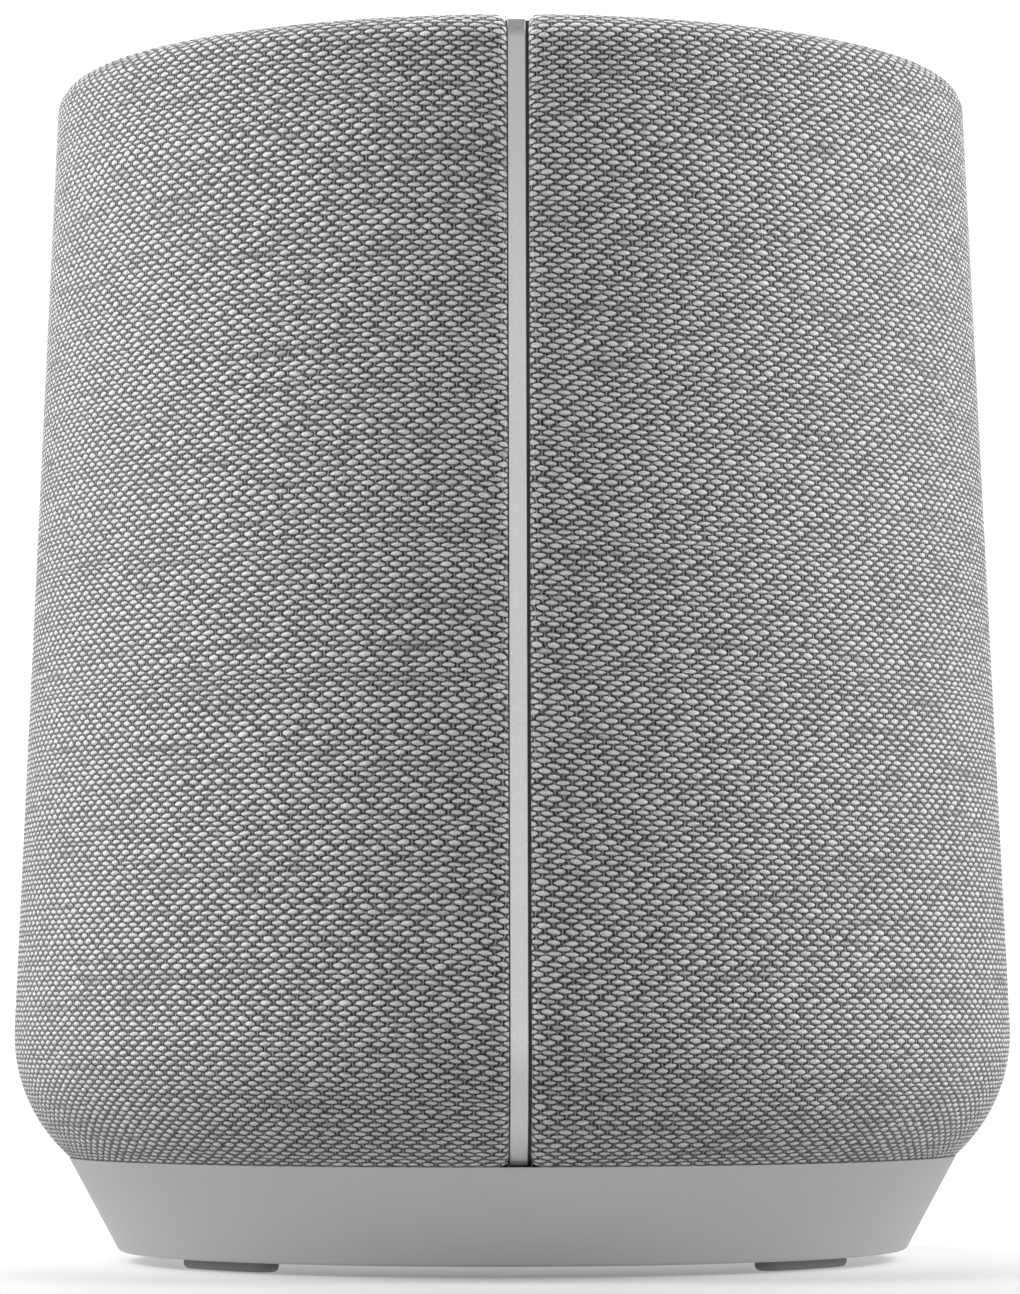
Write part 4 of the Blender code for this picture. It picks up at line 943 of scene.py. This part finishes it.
def build_keys():
    mat = finish_material(
        "key_soft_grain", (0.225, 0.225, 0.231), 0.56, mottle=0.015, smudge=0.03, specular=0.01,
        grain=0.22 * MM, grain_depth=0.015 * MM)
    print_mat = finish_material("icon_print", (0.78, 0.78, 0.77), 0.55, mottle=0.03, specular=0.01)
    for name, site in key_sites().items():
        low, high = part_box(name)
        key = turned(f"{name}_cap", key_outline(low.z, high.z), mat, site, 96)
        dress(key, name, "key_plastic", name)
        icon = build_icon(f"{name}_icon", ICONS[name](), site, high.z - ICON_SUNK, print_mat)
        dress(icon, name, "key_plastic")


# icons are closed outlines in millimetres about the key's middle
def bar(x0, y0, x1, y1, radius=0.18):
    return fillet([(x0, y0, radius), (x1, y0, radius), (x1, y1, radius), (x0, y1, radius)], 3)


def plus_icon():
    a, b = 0.32, 2.3
    arm = [(b, -a), (b, a), (a, a)]
    outline = []
    for _ in range(4):
        outline += arm
        arm = [(-y, x) for x, y in arm]
    return [outline]


def minus_icon():
    return [bar(-2.3, -0.32, 2.3, 0.32)]


def play_icon():
    arrow = fillet([(-2.7, -1.7, 0.15), (0.2, 0.0, 0.15), (-2.7, 1.7, 0.15)], 3)
    return [arrow, bar(1.0, -1.7, 1.6, 1.7), bar(2.2, -1.7, 2.8, 1.7)]


def mute_icon():
    capsule = arc(0.0, 0.9, 0.75, 0.0, math.pi, 12) + arc(0.0, -0.3, 0.75, math.pi, math.tau, 12)
    cradle = arc(0.0, -0.2, 1.55, math.pi, math.tau, 20) + arc(0.0, -0.2, 1.15, math.tau, math.pi, 20)
    slash = [(-2.15, 1.75), (-1.85, 2.05), (2.15, -1.95), (1.85, -2.25)]
    return [capsule, cradle, bar(-0.2, -2.75, 0.2, -1.7, 0.05), bar(-1.0, -3.0, 1.0, -2.65, 0.1), slash]


ICONS = {
    "volume_up_key": plus_icon,
    "play_pause_key": play_icon,
    "volume_down_key": minus_icon,
    "mic_mute_key": mute_icon,
}


def build_icon(name, outlines, site, z, mat):
    """Flat marks standing a little proud of the key's dish."""
    bm = bmesh.new()
    for number, outline in enumerate(outlines):
        placed = [(site[0] + x * MM, site[1] + y * MM) for x, y in outline]
        top = z + ICON_RISE + ICON_STEP * number
        skin(bm, [level_ring(bm, placed, z), level_ring(bm, placed, top)])
    return from_bmesh(name, bm, mat)


# ---- carried-over nodes
def board_material():
    """Green solder mask over copper tracks, with tinned pads and holes."""
    mat, g = new_material("circuit_board")
    spots = g.places()
    x, y, z = g.split(spots)
    bend = g.times(g.noise(spots, 60.0, 0.0), 6.0)
    across = g.math("FRACT", g.plus(g.times(x, 900.0), bend))
    along = g.math("FRACT", g.plus(g.times(g.plus(y, z), 900.0), bend))
    patch = g.voronoi(spots, 110.0, output="Color")
    which = g.math("GREATER_THAN", g.split(patch)[0], 0.5)
    line = g.plus(g.times(which, across), g.times(g.minus(1.0, which), along))
    track = g.span(g.math("ABSOLUTE", g.minus(line, 0.5)), 0.14, 0.20, 1.0, 0.0)
    pads = g.span(g.voronoi(spots, 260.0), 0.16, 0.20, 1.0, 0.0)
    mask = g.mix(track, (0.012, 0.085, 0.040), (0.022, 0.150, 0.065))
    g.put(pads, g.shader["Metallic"])
    g.surface(
        g.mix(pads, mask, (0.62, 0.62, 0.60)),
        g.span(pads, 0.0, 1.0, 0.38, 0.25), g.plus(track, pads), 0.03 * MM)
    return mat


def wound_material(name, rgb, pitch, rough):
    """Fine wire wound in level turns."""
    mat, g = new_material(name, {"Metallic": 1.0})
    spots = g.places()
    turns = g.math("FRACT", g.math("DIVIDE", g.split(spots)[2], pitch))
    off = g.math("POWER", g.minus(turns, 0.5), 2.0)
    wire = g.math("SQRT", g.math("MAXIMUM", g.minus(0.25, off), 0.0))
    age = g.noise(spots, 220.0, 3.0)
    # painted shade: each turn darker towards its edges, in the creases between turns
    shade = g.times(g.span(wire, 0.0, 0.5, 0.45, 1.05), g.vary(age, 0.85, 1.1))
    g.surface(g.shaded(rgb, shade), g.vary(age, rough - 0.06, rough + 0.08), wire, pitch)
    return mat


def cloth_material(name, light, dark, pitch, rough, sheen):
    """Close plain cloth, square to the axes."""
    mat, g = new_material(name, {"Sheen Weight": sheen})
    spots = g.places()
    x, y, z = g.split(spots)
    warp = g.math("SINE", g.times(x, math.tau / pitch))
    weft = g.math("SINE", g.times(g.plus(y, z), math.tau / pitch))
    cross = g.times(warp, weft)
    stain = g.noise(spots, 140.0, 3.0)
    g.surface(
        g.mix(g.span(g.plus(cross, stain), -0.4, 1.4, 0.0, 1.0), dark, light),
        g.vary(stain, rough - 0.05, rough + 0.05), cross, pitch * 0.2)
    return mat


def pulp_material():
    """Pressed paper pulp with loose fibres."""
    mat, g = new_material("pressed_paper")
    spots = g.places()
    fibre = g.noise(g.scale(spots, (1.0, 5.0, 3.0)), 420.0, 4.0, 0.7, 1.2)
    cloud = g.noise(spots, 90.0, 3.0)
    stray = g.rise(fibre, 0.35, 0.7)
    g.surface(
        g.mix(stray, (0.030, 0.029, 0.028), (0.085, 0.080, 0.075)),
        g.vary(cloud, 0.86, 0.97), g.plus(fibre, cloud), 0.10 * MM)
    return mat


def metal_material(name, rgb, rough, brush):
    """Plated or machined metal with fine tool lines along one way."""
    mat, g = new_material(name, {"Metallic": 1.0})
    spots = g.places()
    lines = g.noise(g.scale(spots, brush), 700.0, 3.0, 0.65)
    streaks = g.vary(lines, -0.05, 0.05)
    haze = g.noise(spots, 55.0, 3.0)
    g.surface(
        g.shaded(rgb, g.plus(streaks, g.vary(haze, 0.92, 1.06))),
        g.plus(streaks, g.vary(haze, rough - 0.04, rough + 0.06)), lines, 0.008 * MM)
    return mat


def core_material(node):
    """Stacked steel laminations with yellow tape round the winding in the middle."""
    low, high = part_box(node)
    mat, g = new_material("laminated_core")
    spots = g.places()
    x, y, z = g.split(spots)
    sheets = g.math("FRACT", g.times(z, 2000.0))
    seam = g.span(g.math("ABSOLUTE", g.minus(sheets, 0.5)), 0.36, 0.48, 1.0, 0.0)
    rust = g.noise(spots, 160.0, 3.0)
    steel = g.mix(g.rise(rust, 0.35, 0.7), (0.16, 0.15, 0.14), (0.25, 0.22, 0.18))
    steel = g.shaded(steel, g.span(seam, 0.0, 1.0, 0.45, 1.0))
    tape = g.mix(g.vary(rust, 0.0, 1.0), (0.46, 0.33, 0.05), (0.58, 0.43, 0.09))
    off = g.math("ABSOLUTE", g.minus(x, (low.x + high.x) / 2.0))
    inside = g.math("LESS_THAN", off, (high.x - low.x) * 0.30)
    g.surface(g.mix(inside, steel, tape), g.span(inside, 0.0, 1.0, 0.50, 0.34), seam, 0.05 * MM)
    return mat


def can_material(node):
    """Shrink sleeve with a pale polarity stripe, bare aluminium on the end."""
    low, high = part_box(node)
    mat, g = new_material("capacitor_sleeve")
    spots = g.places()
    x, y, z = g.split(spots)
    side = g.minus(x, (low.x + high.x) / 2.0)
    stripe = g.span(side, (high.x - low.x) * 0.33, (high.x - low.x) * 0.35, 0.0, 1.0)
    end = g.span(z, high.z - 0.25 * MM, high.z - 0.15 * MM, 0.0, 1.0)
    scuff = g.noise(spots, 240.0, 3.0)
    sleeve = g.mix(stripe, (0.020, 0.035, 0.110), (0.42, 0.44, 0.47))
    sleeve = g.shaded(sleeve, g.vary(scuff, 0.88, 1.12))
    g.put(end, g.shader["Metallic"])
    g.surface(g.mix(end, sleeve, (0.66, 0.66, 0.66)), g.vary(scuff, 0.26, 0.38), scuff, 0.01 * MM)
    return mat


def inner_materials():
    """A material for every slot of the record that a carried-over node can have."""
    plain = finish_material
    return {
        "black_plastic": plain(
            "moulded_black", (0.028, 0.028, 0.030), 0.50, grain=0.35 * MM, grain_depth=0.02 * MM),
        "shell_plastic": plain(
            "moulded_shell", (0.045, 0.045, 0.048), 0.58, grain=0.7 * MM, grain_depth=0.03 * MM),
        "key_plastic": plain("key_soft_touch", (0.30, 0.30, 0.305), 0.50, grain=0.22 * MM),
        "silicone": plain("silicone_mat", (0.55, 0.55, 0.53), 0.75, mottle=0.04, sheen=0.1),
        "circuit_board": board_material(),
        "trim_aluminium": metal_material("heat_sink_aluminium", (0.60, 0.60, 0.61), 0.36, (1.0, 1.0, 0.08)),
        "steel": metal_material("zinc_steel", (0.52, 0.52, 0.54), 0.33, (1.0, 0.15, 1.0)),
        "ferrite": plain(
            "ferrite", (0.055, 0.055, 0.06), 0.65, mottle=0.16, grain=0.5 * MM, grain_depth=0.05 * MM),
        "cone_paper": pulp_material(),
        "surround_rubber": plain("surround_rubber", (0.025, 0.025, 0.026), 0.62, grain=0.3 * MM, sheen=0.08),
        "copper": wound_material("copper_winding", (0.78, 0.36, 0.20), 0.22 * MM, 0.34),
        "spider_cloth": cloth_material(
            "spider_cloth", (0.56, 0.40, 0.15), (0.28, 0.19, 0.06), 0.55 * MM, 0.85, 0.1),
        "brass": metal_material("brass_plated", (0.80, 0.60, 0.27), 0.26, (1.0, 1.0, 0.1)),
        "dome_silk": cloth_material(
            "dome_silk", (0.095, 0.095, 0.105), (0.040, 0.040, 0.045), 0.35 * MM, 0.60, 0.4),
        "transformer_core": core_material("transformer"),
        "capacitor_can": can_material("capacitor"),
        "cable_jacket": plain(
            "cable_jacket", (0.02, 0.02, 0.02), 0.55, grain=0.5 * MM, grain_depth=0.02 * MM),
    }


def dress_nodes():
    """Every carried-over CAD node gets the material of its packed slot."""
    made = inner_materials()
    for obj in NODES.values():
        slot = obj.data.materials[0].name.split(".")[0]
        if slot in made:
            obj.data.materials.clear()
            obj.data.materials.append(made[slot])


# ---- stage
def build_camera():
    data = bpy.data.cameras.new("camera")
    data.sensor_width = 36.0
    data.lens = CAMERA_LENS
    camera = linked("camera", data)
    x, y = polar(-CAMERA_DISTANCE, math.pi / 2.0 - CAMERA_YAW)
    turn = (
        Matrix.Rotation(CAMERA_PAN - CAMERA_YAW, 4, "Z")
        @ Matrix.Rotation(math.pi / 2.0 + CAMERA_PITCH, 4, "X")
        @ Matrix.Rotation(CAMERA_ROLL, 4, "Z")
    )
    camera.matrix_world = Matrix.Translation((x, y, CAMERA_HEIGHT)) @ turn
    bpy.context.scene.camera = camera


def area_light(name, place, power):
    data = bpy.data.lights.new(name, "AREA")
    data.shape = "RECTANGLE"
    data.size, data.size_y = LIGHT_SIZE
    data.energy = power
    light = linked(name, data)
    light.location = place
    light.rotation_euler = (Vector(LIGHT_AIM) - Vector(place)).to_track_quat("-Z", "Y").to_euler()
    light.visible_camera = False
    return light


def flag_off(lights, piece):
    """Keep the lamps off one piece, as a flag on a stand would."""
    shaded = bpy.data.collections.new("flagged")
    shaded.objects.link(piece)
    shaded.collection_objects[0].light_linking.link_state = "EXCLUDE"
    for light in lights:
        light.light_linking.receiver_collection = shaded


def floor_material():
    """White acrylic lit from beneath as well, so the shadow under the base stays light; its glow is also a
    painted shadow, dim close round the base and in front of it, brighter beside it and further off.
    """
    even = {"Roughness": 0.6, "Specular IOR Level": 0.2, "Emission Color": (1.0, 1.0, 1.0, 1.0)}
    mat, g = new_material("floor_white", even)
    spots = g.places()
    x, y, z = g.split(spots)
    # painted shadow: the glow is dim close round the base, brighter beside it and further off, and dimmer in
    # front of it
    away = g.math("SQRT", g.plus(g.times(x, x), g.times(y, y)))
    sideways = g.math("DIVIDE", g.math("ABSOLUTE", x), away)
    beside = g.times(g.rise(away, 0.075, 0.120, smooth=True), g.rise(sideways, 0.1, 0.7))
    near = g.span(beside, 0.0, 1.0, FLOOR_GLOW_NEAR, FLOOR_GLOW_SIDE)
    near = g.plus(near, g.span(y, -0.135, 0.005, -0.27, 0.24, smooth=True))
    far = g.rise(away, 0.14, 0.45, smooth=True)
    glow = g.plus(near, g.times(far, g.minus(FLOOR_GLOW_FAR, near)))
    # beside the base the glow is weaker as a lamp than as a picture, so it doesn't flood the base's flanks
    seen = g.add("ShaderNodeLightPath").outputs["Is Camera Ray"]
    lamp = g.span(beside, 0.0, 1.0, 1.0, FLOOR_LAMP_SIDE)
    glow = g.times(glow, g.math("MAXIMUM", seen, lamp))
    haze = g.noise(spots, 6.0, 2.0)
    g.put(g.grey(g.vary(haze, 0.320, 0.330)), g.shader["Base Color"])
    g.put(glow, g.shader["Emission Strength"])
    return mat


def build_world():
    """Soft tent: dim in front and behind, bright to both sides; plain white where the camera looks."""
    world = bpy.data.worlds.new("studio")
    bpy.context.scene.world = world
    world.use_nodes = True
    world.node_tree.nodes.clear()
    g = Graph(world.node_tree)
    out = g.add("ShaderNodeOutputWorld")
    back = g.add("ShaderNodeBackground")
    g.put(back.outputs[0], out.inputs[0])
    x, y, z = g.split(g.add("ShaderNodeTexCoord").outputs["Generated"])
    sides = g.span(g.math("ABSOLUTE", x), 0.45, 0.98, 0.0, WORLD_SIDE, smooth=True)
    sides = g.times(sides, g.span(z, 0.0, 0.5, 0.30, 1.45, smooth=True))
    ahead = g.span(y, -0.70, -0.99, 0.0, WORLD_LOW, smooth=True)
    glow = g.plus(g.plus(sides, ahead), WORLD_FRONT)
    glow = g.times(glow, g.span(z, 0.60, 0.98, 1.0, 0.55, smooth=True))
    seen = g.add("ShaderNodeLightPath").outputs["Is Camera Ray"]
    g.put(g.mix(seen, g.grey(glow), WORLD_SEEN), back.inputs[0])


def build_stage():
    far = FLOOR_HALF
    bm = bmesh.new()
    bm.faces.new(level_ring(bm, [(-far, -far), (far, -far), (far, far), (-far, far)], 0.0))
    floor = from_bmesh("floor", bm, floor_material())
    build_world()
    left = area_light("left_softbox", LEFT_LIGHT, LEFT_POWER)
    right = area_light("right_softbox", RIGHT_LIGHT, RIGHT_POWER)
    flag_off((left, right), bpy.data.objects["base_shell"])
    bpy.context.scene.view_settings.view_transform = "Standard"


build_camera()
build_sleeve()
build_strip()
build_base()
build_feet()
build_bezel()
build_light_ring()
build_panel()
build_keys()
dress_nodes()
build_stage()
